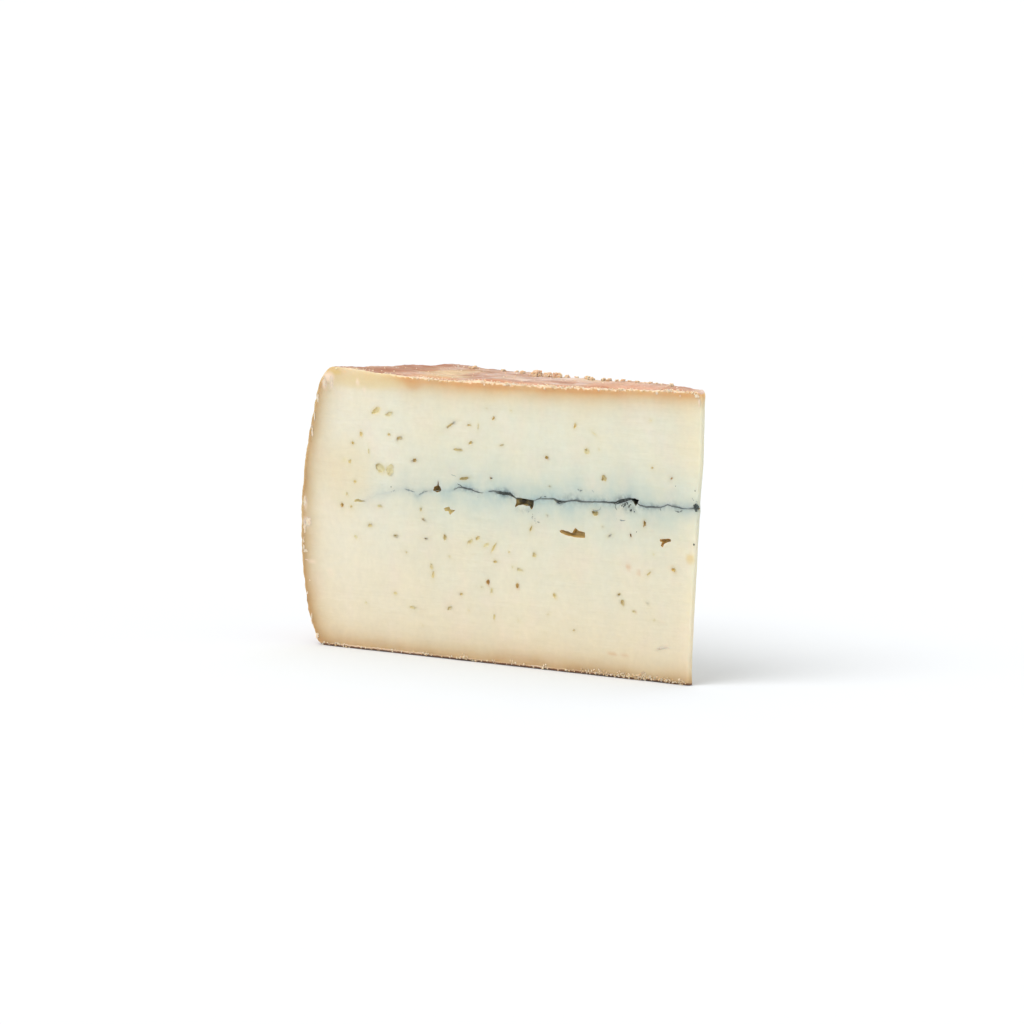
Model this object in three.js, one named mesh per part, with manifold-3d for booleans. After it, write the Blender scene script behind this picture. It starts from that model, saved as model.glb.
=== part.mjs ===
// A wedge cut from a flat wheel of semi-firm washed-rind cheese, with a thin layer of ash between its
// two curds. Millimetres, +Z up. It stands on its lower rind. Two upright cut faces meet in a blunt tip
// at +X, and the rind heel is at -X. The origin is the middle of the box round it, at its foot.
import * as THREE from "three";
import { mergeVertices } from "three/addons/utils/BufferGeometryUtils.js";
import Module from "manifold-3d";

const wasm = await Module();
wasm.setup();

// ---- Driving dimensions -------------------------------------------------------------------------
const height = 80.5; // lower rind to upper rind
const heelReach = 153.3; // foot of the tip to the heel's bulge, along a cut face
const wedgeAngle = THREE.MathUtils.degToRad(17); // between the cut faces
const tipLean = 5.3; // the top of the tip overhangs its foot by this
const tipWidth = 1.4; // the tip is blunt
const tipRound = 1.8; // radius of the tip's upper corner
const bulgeHeight = 30; // where the heel is fullest
const topSetback = 9.1; // how far the heel's upper edge lies in from the bulge
const bottomSetback = 6.8; // and its lower edge
const topRound = 5; // radius of the heel's upper edge
const bottomRound = 2.2; // and of its lower edge

const topRelief = 0.4; // wrinkles of the upper rind
const broadWrinkle = [13, 8]; // their size along the wedge and across it
const fineWrinkle = [6, 5]; // size of the finer ones
const fineShare = 0.6; // and their height as a share of the broad ones'
const frontSag = 0.8; // the knife dragged the upper rind down along the front cut
const backRise = 1.1; // the back cut's upper edge stands proud by this near the tip,
const backDip = 0.4; // and lies lower by this near the heel,
const backTurns = [30, 110]; // going from one to the other between these distances from the tip
const heelRise = 0.9; // the front cut's upper edge rises by this at the heel,
const heelRises = [110, 138]; // between these distances from the tip
const liftDepth = 9; // the higher, the shallower the paste that follows the upper rind
const heelRelief = 0.5; // lumps of the heel's rind
const heelLump = [8, 9]; // their size across the heel and upwards
const cutRelief = 0.12; // drag of the knife on the cut faces
const cutWave = [16, 12]; // size of its waves along the face and upwards
const cutWaveFrom = 25; // they fade out over this distance from the tip

const ashHeight = 48.3; // middle of the ash layer, over most of its length
const ashThick = 0.9; // ash layer at the tip, thinning to ashThin at its inner end
const ashThin = 0.5;
const ashReach = 127; // inner end of the ash, from the foot of the tip along a cut face
const ashDrop = 5.2; // how far the layer sinks before that end
const ashDropFrom = 100; // and where it starts to
const ashWave = 0.45; // its gentle waves, of two lengths
const ashShortWave = 5.1; // distance along the face in which the shorter one turns by a radian
const ashLongWave = 11.7; // and the longer one
const slotGap = 0.3; // free space round the ash layer in the paste

// Steps of the grids. The rounded edges have their own steps.
const stepsAlong = 22;
const stepsRound = 3;
const stepsAcross = 6;
const stepsUp = 14;
const stepsAshAlong = 40;
const stepsAshAcross = 4;

// ---- Noise and random draws ---------------------------------------------------------------------
const unit = (x, y, z) => {
  const mixed = Math.imul(x, 374761393) ^ Math.imul(y, 668265263) ^ Math.imul(z, 1442695041);
  const spread = Math.imul(mixed ^ (mixed >>> 13), 1274126177);
  return ((spread ^ (spread >>> 16)) >>> 0) / 4294967295;
};

// Smooth noise from -1 to 1, with lumps about one unit across.
function noise(x, y, z) {
  const [ix, iy, iz] = [x, y, z].map(Math.floor);
  const [fx, fy, fz] = [x - ix, y - iy, z - iz].map((f) => f * f * (3 - 2 * f));
  const mix = THREE.MathUtils.lerp;
  const edge = (dy, dz) => mix(unit(ix, iy + dy, iz + dz), unit(ix + 1, iy + dy, iz + dz), fx);
  return 2 * mix(mix(edge(0, 0), edge(1, 0), fy), mix(edge(0, 1), edge(1, 1), fy), fz) - 1;
}

const smooth = (low, high, x) => THREE.MathUtils.smoothstep(x, low, high);

function seededRandom(seed) {
  let draws = 0;
  return (low, high) => low + (high - low) * unit(seed, ++draws, 97);
}

// ---- The wedge's own coordinates ----------------------------------------------------------------
// A point is (reach, turn, up): its distance from the foot of the tip along a cut face, its share of
// the way from the front face (0) to the back face (1), and its height.
const halfAngle = wedgeAngle / 2;
const apexGap = tipWidth / 2 / Math.sin(halfAngle); // from where the faces would meet to the blunt tip

const direction = (turn) => {
  const angle = halfAngle * (1 - 2 * turn);
  return new THREE.Vector3(-Math.cos(angle), -Math.sin(angle), 0);
};
const frontWay = direction(0);
const tipAt = (up) => (-tipLean * up) / height;

function heelAt(up) {
  const above = Math.max(0, up - bulgeHeight) / (height - bulgeHeight);
  const below = Math.max(0, bulgeHeight - up) / bulgeHeight;
  return heelReach - topSetback * above ** 2 - bottomSetback * below ** 2;
}

function place(reach, turn, up) {
  const apex = frontWay.clone().multiplyScalar(tipAt(up) - apexGap);
  return apex.addScaledVector(direction(turn), reach - tipAt(up) + apexGap).setZ(up);
}

// How much the upper rind stands above or below its level, this far from the tip.
function topLift(fromTip, turn) {
  const sag = frontSag * Math.sin(Math.PI * Math.min(1, fromTip / heelReach));
  const front = heelRise * smooth(...heelRises, fromTip) - sag;
  const back = THREE.MathUtils.lerp(backRise, -backDip, smooth(...backTurns, fromTip));
  return THREE.MathUtils.lerp(front, back, turn);
}

// Turns a square corner into a round one: a and b are distances to its two sides.
function roundCorner(a, b, radius) {
  if (a >= radius || b >= radius) return [a, b];
  const [p, q] = [1 - a / radius, 1 - b / radius];
  return [radius * (1 - p * Math.sqrt(1 - (q * q) / 2)), radius * (1 - q * Math.sqrt(1 - (p * p) / 2))];
}

// ---- From three.js geometry to a manifold solid and back ----------------------------------------
function welded(geometry) {
  geometry.deleteAttribute("normal");
  geometry.deleteAttribute("uv");
  return mergeVertices(geometry, 1e-5);
}

function solidOf(geometry) {
  return new wasm.Manifold(
    new wasm.Mesh({
      numProp: 3,
      vertProperties: new Float32Array(geometry.attributes.position.array),
      triVerts: new Uint32Array(geometry.index.array),
    }),
  );
}

function geometryOf(solid) {
  const mesh = solid.getMesh();
  const geometry = new THREE.BufferGeometry();
  geometry.setAttribute("position", new THREE.BufferAttribute(mesh.vertProperties, 3));
  geometry.setIndex(new THREE.BufferAttribute(mesh.triVerts, 1));
  return geometry;
}

const largest = (solid) => solid.decompose().sort((a, b) => b.volume() - a.volume())[0];

// A unit box divided into steps, each of whose points is moved to where put(x, y, z) says.
// x, y and z run from 0 to 1.
function shapedBlock(steps, put) {
  const geometry = welded(new THREE.BoxGeometry(1, 1, 1, ...steps));
  const position = geometry.attributes.position;
  for (let i = 0; i < position.count; i++) {
    const at = put(position.getX(i) + 0.5, position.getY(i) + 0.5, position.getZ(i) + 0.5);
    position.setXYZ(i, at.x, at.y, at.z);
  }
  return geometry;
}

// Steps of 0 to 1 as a distance from one end, with stepsRound of them inside the rounded edge.
function graded(share, steps, low, high, whole) {
  const step = share * steps;
  if (step <= stepsRound) return (low * step) / stepsRound;
  if (step >= steps - stepsRound) return whole - (high * (steps - step)) / stepsRound;
  const [from, to] = [low, whole - high];
  return from + ((to - from) * (step - stepsRound)) / (steps - 2 * stepsRound);
}

// ---- The paste, with its rind -------------------------------------------------------------------
// Noise on a face, in patches of this size along the face's two ways.
const patch = (along, across, size, layer) => noise(along / size[0], across / size[1], layer);
const wrinkles = (at) => patch(at.x, at.y, broadWrinkle, 3) + fineShare * patch(at.x, at.y, fineWrinkle, 9);

function wedgeBlock() {
  const steps = [stepsAlong + 2 * stepsRound, stepsAcross, stepsUp + 2 * stepsRound];
  return shapedBlock(steps, (x, y, z) => {
    let up = graded(z, steps[2], bottomRound, topRound, height);
    const length = heelAt(up) - tipAt(up);
    let fromHeel = graded(x, steps[0], topRound, tipRound, length);
    let fromTip = length - fromHeel;
    let below = height - up;
    if (fromHeel < topRound && below < topRound) [fromHeel, below] = roundCorner(fromHeel, below, topRound);
    else if (fromTip < tipRound && below < tipRound) [fromTip, below] = roundCorner(fromTip, below, tipRound);
    up = height - below;
    if (fromHeel < bottomRound && up < bottomRound) [fromHeel, up] = roundCorner(fromHeel, up, bottomRound);
    const reach = x < 0.5 ? heelAt(up) - fromHeel : tipAt(up) + fromTip;
    const at = place(reach, y, up);

    const onTop = z === 1;
    const onHeel = x === 0;
    const onCut = y === 0 || y === 1;
    if (onTop) at.z += topRelief * wrinkles(at);
    if (onHeel && !onTop) at.addScaledVector(direction(y), heelRelief * patch(at.y, at.z, heelLump, 5));
    at.z += (up / height) ** liftDepth * topLift(fromTip, y);
    if (onCut) at.y += cutRelief * smooth(0, cutWaveFrom, fromTip) * patch(at.x, at.z, cutWave, 7 + y);
    return at;
  });
}

// ---- The ash layer ------------------------------------------------------------------------------
const ashMiddle = (reach, turn) =>
  ashHeight -
  ashDrop * smooth(ashDropFrom, ashReach, reach) +
  ashWave * Math.sin(reach / ashShortWave + 2 * turn) +
  ashWave * Math.sin(reach / ashLongWave + 1);

// A sheet along the ash layer, thicker by extra on each side. It may run past the tip by pastTip, and
// past the cut faces by pastFace, a share of the way from one to the other.
function ashSheet(extra, pastTip, pastFace) {
  const steps = [stepsAshAlong, stepsAshAcross * (1 + 2 * pastFace), 1];
  return shapedBlock(steps, (x, y, z) => {
    const reach = THREE.MathUtils.lerp(ashReach + extra, tipAt(ashHeight) - pastTip, x);
    const turn = THREE.MathUtils.lerp(-pastFace, 1 + pastFace, y);
    const side = z - 0.5;
    const thick = THREE.MathUtils.lerp(ashThin, ashThick, x) + 2 * extra;
    return place(reach, turn, ashHeight).setZ(ashMiddle(reach, turn) + side * thick);
  });
}

// ---- Eyes: the small openings that the knife lays bare ------------------------------------------
// The largest of the front face: distance from the foot of the tip, height, width, height of the
// opening, and how deep it goes. A slant in degrees tips its long side up towards the tip.
const ashEyes = [
  { reach: 63, up: 46.6, wide: 7, tall: 3, deep: 2.6 },
  { reach: 97.5, up: 48.3, wide: 3, tall: 2.2, deep: 1.8 },
  { reach: 21.5, up: 49.2, wide: 5, tall: 2.2, deep: 2.4, slant: 12 },
];
const largeEyes = [
  { reach: 43.5, up: 39, wide: 8.6, tall: 2, deep: 2.6, slant: 3 },
  { reach: 93, up: 42.5, wide: 3.8, tall: 1.9, deep: 1.5, slant: -8 },
  { reach: 9, up: 38.8, wide: 3.2, tall: 1.7, deep: 1.3, slant: 35 },
  { reach: 119.5, up: 52, wide: 3.6, tall: 2.6, deep: 1.1 },
  { reach: 99, up: 24.8, wide: 1.6, tall: 3.8, deep: 1.2 },
  { reach: 82, up: 34.6, wide: 4, tall: 1.5, deep: 1.2, slant: 25 },
  { reach: 73.5, up: 32.4, wide: 3.8, tall: 1, deep: 1, slant: 50 },
  { reach: 129.5, up: 43.2, wide: 3, tall: 1.3, deep: 1.2 },
  { reach: 121.5, up: 69.5, wide: 3, tall: 1.2, deep: 1, slant: 18 },
  { reach: 106, up: 55.8, wide: 3, tall: 1.2, deep: 1.1 },
  { reach: 76.5, up: 22.4, wide: 1.8, tall: 2.1, deep: 1.4 },
  { reach: 31.5, up: 55, wide: 2.2, tall: 1.8, deep: 1.2 },
];
// Small eyes lie at random over both cut faces. On the back face a few of them are as large as these.
const smallFrontEyes = { count: 14, wide: [1.6, 2.6] };
const smallBackEyes = { count: 14, wide: [1.6, 2.6] };
const largeBackEyes = { count: 6, wide: [1.6, 5.5] };
const eyeTall = [1.1, 2.2]; // their height, but none is taller than it is wide
const eyeSlant = 25; // and their slant is at most this many degrees either way
const eyeMargin = 12; // no eye is nearer than this to the rind or the tip
const eyeFloor = 0.3; // the widest part of an eye lies this share of its depth below the face
const eyeRough = 0.22; // how uneven an eye's wall is

function eyeSolid(eye, turn) {
  const { reach, up, wide, tall, deep, slant = 0 } = eye;
  const geometry = welded(new THREE.SphereGeometry(1, 8, 6));
  const position = geometry.attributes.position;
  const along = direction(turn);
  const outward = new THREE.Vector3(-along.y, along.x, 0).multiplyScalar(turn ? -1 : 1);
  const sideways = new THREE.Vector3(0, 0, 1).cross(outward); // to the tip, on the front face
  const middle = place(reach, turn, up).addScaledVector(outward, -eyeFloor * deep);
  const tilt = THREE.MathUtils.degToRad(slant);
  for (let i = 0; i < position.count; i++) {
    const [x, y, z] = [position.getX(i), position.getY(i), position.getZ(i)];
    const swell = 1 + eyeRough * noise(2 * x + reach, 2 * y + up, 2 * z + turn);
    const [level, rise] = [(x * wide * swell) / 2, (y * tall * swell) / 2];
    const at = middle.clone().addScaledVector(outward, z * deep * swell);
    at.addScaledVector(sideways, level * Math.cos(tilt) - rise * Math.sin(tilt));
    at.z += rise * Math.cos(tilt) + level * Math.sin(tilt);
    position.setXYZ(i, at.x, at.y, at.z);
  }
  return solidOf(geometry);
}

function randomEyes(seed, eyes, turn) {
  const random = seededRandom(seed);
  return Array.from({ length: eyes.count }, () => {
    const wide = random(...eyes.wide);
    const eye = {
      reach: random(eyeMargin, heelReach - 1.5 * eyeMargin),
      up: random(eyeMargin, height - eyeMargin),
      wide,
      tall: Math.min(wide, random(...eyeTall)),
      deep: wide / 2,
      slant: random(-eyeSlant, eyeSlant),
    };
    return eyeSolid(eye, turn);
  });
}

// ---- Crags of dry crust on the upper rind, most of them along its back edge ----------------------
const largeCrags = { count: 3, reach: [79, 90], turn: [0.85, 0.93], radius: [1.3, 1.6] };
const smallCrags = { count: 13, reach: [14, 74], turn: [0.7, 0.93], radius: [0.6, 0.95] };
const cragRough = 0.35; // how uneven a crag is
const cragFlat = 0.8; // its height as a share of its width

function crag(reach, turn, radius, seed) {
  const geometry = welded(new THREE.IcosahedronGeometry(radius, 0));
  const position = geometry.attributes.position;
  const foot = place(reach, turn, height + topLift(reach, turn));
  const at = new THREE.Vector3();
  for (let i = 0; i < position.count; i++) {
    at.fromBufferAttribute(position, i).multiplyScalar(1 + cragRough * noise(3 * i, seed, 1));
    position.setXYZ(i, foot.x + at.x, foot.y + at.y, foot.z + at.z * cragFlat);
  }
  return solidOf(geometry);
}

// One crag in each equal stretch of the edge, at a random place in it.
function cragsAlong({ count, reach, turn, radius }, seed) {
  const random = seededRandom(seed);
  const stretch = (reach[1] - reach[0]) / count;
  return Array.from({ length: count }, (_, i) =>
    crag(reach[0] + stretch * (i + random(0.2, 0.8)), random(...turn), random(...radius), i),
  );
}

// ---- Putting it together ------------------------------------------------------------------------
const ashPits = ashEyes.map((eye) => eyeSolid(eye, 0));
const ashSlot = solidOf(ashSheet(slotGap, 3, 0.5));
const openings = [
  ashSlot,
  ...ashPits,
  ...largeEyes.map((eye) => eyeSolid(eye, 0)),
  ...randomEyes(5, smallFrontEyes, 0),
  ...randomEyes(41, smallBackEyes, 1),
  ...randomEyes(43, largeBackEyes, 1),
];
const crust = [...cragsAlong(largeCrags, 3), ...cragsAlong(smallCrags, 7)];

const block = crust.reduce((solid, piece) => solid.add(piece), solidOf(wedgeBlock()));
const paste = largest(openings.reduce((solid, cut) => solid.subtract(cut), block));
const ash = largest(ashPits.reduce((solid, cut) => solid.subtract(cut), solidOf(ashSheet(0, 0, 0))));

function meshOf(name, solid, colour, roughness) {
  const material = new THREE.MeshStandardMaterial({ color: colour, roughness, metalness: 0 });
  const mesh = new THREE.Mesh(geometryOf(solid), material);
  mesh.name = name;
  return mesh;
}

const wedge = new THREE.Group();
wedge.name = "cheese_wedge";
wedge.add(meshOf("cheese_paste", paste, 0xece2c6, 0.5), meshOf("ash_layer", ash, 0x46535b, 0.9));

const box = new THREE.Box3().setFromObject(wedge);
const middle = box.getCenter(new THREE.Vector3());
wedge.position.set(-middle.x, -middle.y, -box.min.z);

export default wedge;
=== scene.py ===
"""The looks of a wedge of semi-firm washed-rind cheese with a layer of ash between its two curds.

Shapes are worked out in millimetres, from the foot of the tip, as (reach, turn, up): how far a point
lies from the foot of the tip along a cut face, its share of the way from the front cut face (0) to the
back one (1), and its height. They are turned into metres in the part's own frame when a mesh is made.
"""

import itertools
import math

import bmesh
import bpy
import numpy as np
from mathutils import Matrix, Vector


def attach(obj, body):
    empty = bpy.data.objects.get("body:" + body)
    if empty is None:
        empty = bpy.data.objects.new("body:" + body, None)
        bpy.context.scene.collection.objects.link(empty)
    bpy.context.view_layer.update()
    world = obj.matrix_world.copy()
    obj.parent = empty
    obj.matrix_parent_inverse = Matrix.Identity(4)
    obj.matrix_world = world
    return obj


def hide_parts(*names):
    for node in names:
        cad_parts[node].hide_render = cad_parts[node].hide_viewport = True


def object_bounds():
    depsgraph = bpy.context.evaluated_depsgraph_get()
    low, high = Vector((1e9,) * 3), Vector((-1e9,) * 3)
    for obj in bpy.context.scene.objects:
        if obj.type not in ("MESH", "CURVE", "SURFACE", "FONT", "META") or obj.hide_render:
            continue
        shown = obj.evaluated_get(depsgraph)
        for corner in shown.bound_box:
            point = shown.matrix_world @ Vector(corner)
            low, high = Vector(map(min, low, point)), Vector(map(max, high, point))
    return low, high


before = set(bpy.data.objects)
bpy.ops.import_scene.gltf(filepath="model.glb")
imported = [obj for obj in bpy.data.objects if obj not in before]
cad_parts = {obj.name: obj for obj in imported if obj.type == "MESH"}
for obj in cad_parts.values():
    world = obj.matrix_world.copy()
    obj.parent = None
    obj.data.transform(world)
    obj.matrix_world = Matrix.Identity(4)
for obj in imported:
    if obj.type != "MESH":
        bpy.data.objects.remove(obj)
CAD_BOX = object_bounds()
MM = 0.001

# ---- Sizes, in mm, as in the solids ---------------------------------------------------------------
HEIGHT = 80.5
HEEL_REACH = 153.3  # foot of the tip to the heel's bulge
HALF_ANGLE = math.radians(17) / 2
TIP_LEAN = 5.3  # the top of the tip overhangs its foot by this
TIP_WIDTH = 1.4
BULGE_HEIGHT = 30
TOP_SETBACK = 9.1
BOTTOM_SETBACK = 6.8
TOP_ROUND = 5
BOTTOM_ROUND = 2.2
TOP_RELIEF = 0.4
FRONT_SAG = 0.8
BACK_RISE = 1.1
BACK_DIP = 0.4
HEEL_RISE = 0.9
LIFT_DEPTH = 9
HEEL_RELIEF = 0.5
CUT_RELIEF = 0.12
ASH_HEIGHT = 48.3
ASH_REACH = 127
ASH_DROP = 5.2
ASH_WAVE = 0.45
TIP_FOOT = np.array([74.2533, -1.0475, 0])  # the foot of the tip in the part's frame
# Wear that the solids have less of or leave out.
TIP_ROUND = 2.6  # radius of the tip's upper corner, where crumbs broke off
TIP_EDGE = 0.55  # radius of the blunt tip's upright edges
TIP_RISE = 0.55  # rise of the upper rind's front edge towards the tip
BACK_WEAR = 0.4  # depth of a hollow along its back edge

APEX_GAP = TIP_WIDTH / 2 / math.sin(HALF_ANGLE)
FRONT_WAY = np.array([-math.cos(HALF_ANGLE), -math.sin(HALF_ANGLE), 0])
FRONT_OUT = np.array([math.sin(HALF_ANGLE), -math.cos(HALF_ANGLE), 0])
BACK_OUT = FRONT_OUT * (1, -1, 1)
UPWARD = np.array([0, 0, 1])


# ---- Noise ----------------------------------------------------------------------------------------
ASKEW = np.array(Matrix.Rotation(0.8, 3, Vector((1, 2, 3))))  # how the noise's grid lies to the wedge


def drawn(x, y, z):
    """A fixed number from 0 to 1 for three whole numbers."""
    x, y, z = (np.asarray(v).astype(np.int64) for v in (x, y, z))
    mixed = (x * 374761393 ^ y * 668265263 ^ z * 1442695041) & 0xFFFFFFFF
    spread = ((mixed ^ (mixed >> 13)) * 1274126177) & 0xFFFFFFFF
    return (spread ^ (spread >> 16)) / 4294967295


def draws(seed, kind):
    """Fixed numbers from 0 to 1, one after the other. kind keeps the uses of a seed apart."""
    return (float(drawn(seed, number, kind)) for number in itertools.count(1))


def between(low, high, draw):
    return low + (high - low) * next(draw)


def noise(x, y, z):
    """Smooth noise from -1 to 1, with lumps about one unit across."""
    at = np.stack(np.broadcast_arrays(x, y, z), axis=-1).astype(float)
    cell = np.floor(at)
    share = at - cell
    share = share * share * (3 - 2 * share)
    total = 0
    for corner in itertools.product((0, 1), repeat=3):
        weight = np.prod(np.where(corner, share, 1 - share), axis=-1)
        total = total + weight * drawn(*np.moveaxis(cell + corner, -1, 0))
    return 2 * total - 1


def rough(points, size, seed, octaves=3):
    """Noise with finer and finer lumps on top of each other. size is in mm, one number or three. Its grid
    lies askew, so that it doesn't show along the wedge."""
    at = points / size @ ASKEW + seed * 17.3
    return sum(noise(*(at * 2**i).T) / 2**i for i in range(octaves))


def smooth(low, high, x):
    share = np.clip((x - low) / (high - low), 0, 1)
    return share * share * (3 - 2 * share)


# ---- The wedge's own coordinates ------------------------------------------------------------------
def direction(turn):
    angle = HALF_ANGLE * (1 - 2 * np.asarray(turn, float))
    return np.stack([-np.cos(angle), -np.sin(angle), 0 * angle], axis=-1)


def tip_at(up):
    return -TIP_LEAN * up / HEIGHT


def heel_at(up):
    above = np.maximum(0, up - BULGE_HEIGHT) / (HEIGHT - BULGE_HEIGHT)
    below = np.maximum(0, BULGE_HEIGHT - up) / BULGE_HEIGHT
    return HEEL_REACH - TOP_SETBACK * above**2 - BOTTOM_SETBACK * below**2


def place(reach, turn, up):
    """The point, in mm from the foot of the tip, for wedge coordinates."""
    reach, turn, up = np.broadcast_arrays(*(np.asarray(v, float) for v in (reach, turn, up)))
    apex = FRONT_WAY * (tip_at(up) - APEX_GAP)[..., None]
    point = apex + direction(turn) * (reach - tip_at(up) + APEX_GAP)[..., None]
    point[..., 2] = up
    return point


def wedge_coordinates(points):
    """reach, turn and up of points in mm: the way back from place."""
    up = points[:, 2]
    away = points[:, :2] - FRONT_WAY[:2] * (tip_at(up) - APEX_GAP)[:, None]
    reach = np.hypot(*away.T) + tip_at(up) - APEX_GAP
    turn = (1 - np.arctan2(-away[:, 1], -away[:, 0]) / HALF_ANGLE) / 2
    return reach, turn, up


def top_lift(from_tip, turn):
    """How much the upper rind stands above or below its level."""
    sag = FRONT_SAG * np.sin(math.pi * np.minimum(1, from_tip / HEEL_REACH))
    front = HEEL_RISE * smooth(110, 138, from_tip) - sag + TIP_RISE * smooth(55, 12, from_tip)
    worn = BACK_WEAR * smooth(12, 30, from_tip) * smooth(95, 70, from_tip)
    back = BACK_RISE - worn - (BACK_RISE + BACK_DIP) * smooth(30, 110, from_tip)
    return front + (back - front) * turn


def round_corner(a, b, radius):
    """Turns a square corner into a round one: a and b are distances to its two sides."""
    p, q = 1 - a / radius, 1 - b / radius
    inside = (p > 0) & (q > 0)
    p, q = np.clip(p, 0, 1), np.clip(q, 0, 1)
    rounded_a = radius * (1 - p * np.sqrt(1 - q * q / 2))
    rounded_b = radius * (1 - q * np.sqrt(1 - p * p / 2))
    return np.where(inside, rounded_a, a), np.where(inside, rounded_b, b)


# ---- The ash line, as the front cut shows it --------------------------------------------------------
# Distance from the foot of the tip and height, from the tip to the layer's inner end.
ASH_LINE = (
    (-6, 48.9), (-1, 48.7), (1.5, 48.5), (5.2, 48.9), (7.5, 49.2), (10.5, 48.3), (15.7, 48.1), (18, 48.4),
    (21.4, 50.0), (23.3, 49.6), (27.1, 48.6), (33.2, 48.4), (39.3, 48.1), (42, 48.4), (46.6, 47.7),
    (49, 47.5), (51.3, 48.2), (56.4, 47.9), (58.7, 47.2), (65.8, 47.6), (68.1, 48.7), (70.9, 48.5),
    (74.4, 49.0), (79.6, 48.1), (84, 49), (88.4, 49.3), (92.4, 47.8), (98.8, 47.7), (102.5, 47.1),
    (105.2, 45.6), (107.5, 46.9), (110.6, 47.4), (115.5, 46.3), (121, 45.5), (126.6, 43.1), (132, 42.8),
    (140, 42.5),
)
# Where the layer is thick and where it has closed up: distance from the tip and thickness.
ASH_THICKNESS = (
    (-5, 0.5), (0, 0.15), (4, 0.35), (8, 0.3), (13, 0.45), (18, 0.35), (21, 0.5), (23, 0.9), (26, 0.8),
    (28, 0.45), (34, 0.35), (41, 0.5), (46, 0.35), (48.5, 0.8), (50, 0.7), (51.5, 0.2), (58, 0.18),
    (64, 0.12), (67, 0.5), (69, 1.1), (72, 0.9), (74, 0.3), (77, 0.08), (79.5, 0.1), (84, 0.45),
    (88, 0.25), (89.5, 0.05), (97, 0.04), (101, 0.08), (106, 0.12), (112, 0.05), (127, 0.04),
)
# How pale the ash is at its edge, where paste has closed over it: distance from the tip and share of 1.
ASH_PALENESS = (
    (-5, 0.1), (0, 0.5), (3, 0.25), (8, 0.45), (13, 0.2), (17, 0.35), (20, 0.05), (27, 0.05), (35, 0.35),
    (41, 0.2), (46, 0.3), (49, 0.0), (51, 0.35), (57, 0.45), (64, 0.6), (67, 0.1), (72, 0.1), (75, 0.5),
    (78, 0.9), (80, 0.6), (84, 0.2), (88, 0.35), (90, 0.9), (97, 0.9), (104, 0.8), (112, 0.95), (127, 1.0),
)
# How strongly the ash has stained the paste round it: distance from the tip, and shares of 1 for the wide
# blue-green bloom and for the dark smudge along the line.
ASH_STAIN = (
    (-5, 0.7, 0.8), (0, 0.7, 0.4), (5, 0.8, 0.7), (10, 0.85, 0.5), (14, 0.9, 0.7), (19, 1, 0.9), (27, 1, 1),
    (31, 0.95, 0.7), (41, 1, 0.85), (46, 1, 0.8), (49, 1, 1), (52, 0.95, 0.55), (58, 0.95, 0.45),
    (64, 0.95, 0.5), (68, 1, 1), (73, 1, 1), (76, 0.95, 0.35), (79, 0.9, 0.2), (84, 0.9, 0.6),
    (88, 0.85, 0.45), (91, 0.8, 0.15), (98, 0.7, 0.2), (104, 0.6, 0.3), (112, 0.45, 0.15), (120, 0.3, 0.1),
    (130, 0.15, 0.05), (140, 0.0, 0.0),
)
# Where ash has been rubbed into the front face: middle, width, height and strength.
ASH_RUBBED = (
    (70.4, 48.7, 7.5, 2.6, 0.95), (49.0, 47.7, 3.0, 2.0, 0.85), (43.5, 48.9, 8.0, 2.0, 0.55),
    (24.0, 49.7, 7.5, 2.8, 0.7), (22.5, 47.4, 8.0, 3.6, 0.5), (84.2, 48.9, 9.5, 1.6, 0.5),
    (-3.6, 49.2, 3.4, 2.6, 0.7), (62.6, 44.4, 7.5, 2.8, 0.35), (13.0, 48.6, 5.0, 1.6, 0.4),
    (34.0, 48.9, 7.0, 1.6, 0.4), (4.0, 48.9, 5.0, 1.4, 0.4),
)


def along_ash(table, reach, column=1):
    rows = np.array(table)
    return np.interp(reach, rows[:, 0], rows[:, column])


def ash_middle(reach, turn):
    """Height of the layer's middle. The front line goes over into plain waves on the way to the back."""
    waves = ASH_WAVE * (np.sin(reach / 5.1 + 2 * turn) + np.sin(reach / 11.7 + 1))
    plain = ASH_HEIGHT - ASH_DROP * smooth(100, 127, reach) + waves
    kinks = 0.1 * noise(reach / 1.3, turn * 3, 4) + 0.05 * noise(reach / 0.45, turn * 5, 8)
    front = along_ash(ASH_LINE, reach)
    return front + (plain - front) * smooth(0.1, 0.8, turn) + kinks


# ---- Meshes ---------------------------------------------------------------------------------------
def object_from(name, points, faces, materials, face_material=None):
    """An object from points in mm from the foot of the tip."""
    mesh = bpy.data.meshes.new(name)
    mesh.from_pydata(((points + TIP_FOOT) * MM).tolist(), [], faces)
    for material in materials:
        mesh.materials.append(material)
    if face_material is not None:
        mesh.polygons.foreach_set("material_index", np.asarray(face_material, np.int32))
    mesh.update()
    piece = bpy.data.objects.new(name, mesh)
    bpy.context.scene.collection.objects.link(piece)
    return piece


def raw_points(mesh):
    flat = np.empty(len(mesh.vertices) * 3, np.float32)
    mesh.vertices.foreach_get("co", flat)
    return flat.reshape(-1, 3)


def points_of(mesh):
    """A mesh's points, in mm from the foot of the tip."""
    return raw_points(mesh).astype(float) / MM - TIP_FOOT


def keep_in_box(piece):
    """No point stands outside the solids' box, not even a crumb's."""
    inside = np.clip(raw_points(piece.data), *(np.array(corner) for corner in CAD_BOX))
    piece.data.vertices.foreach_set("co", inside.astype(np.float32).ravel())
    piece.data.update()


def store(piece, name, *values):
    """Keeps one value or three at each point of a piece."""
    kind, slot = ("FLOAT_VECTOR", "vector") if len(values) == 3 else ("FLOAT", "value")
    attribute = piece.data.attributes.new(name, kind, "POINT")
    attribute.data.foreach_set(slot, np.stack(values, axis=-1).astype(np.float32).ravel())


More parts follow.
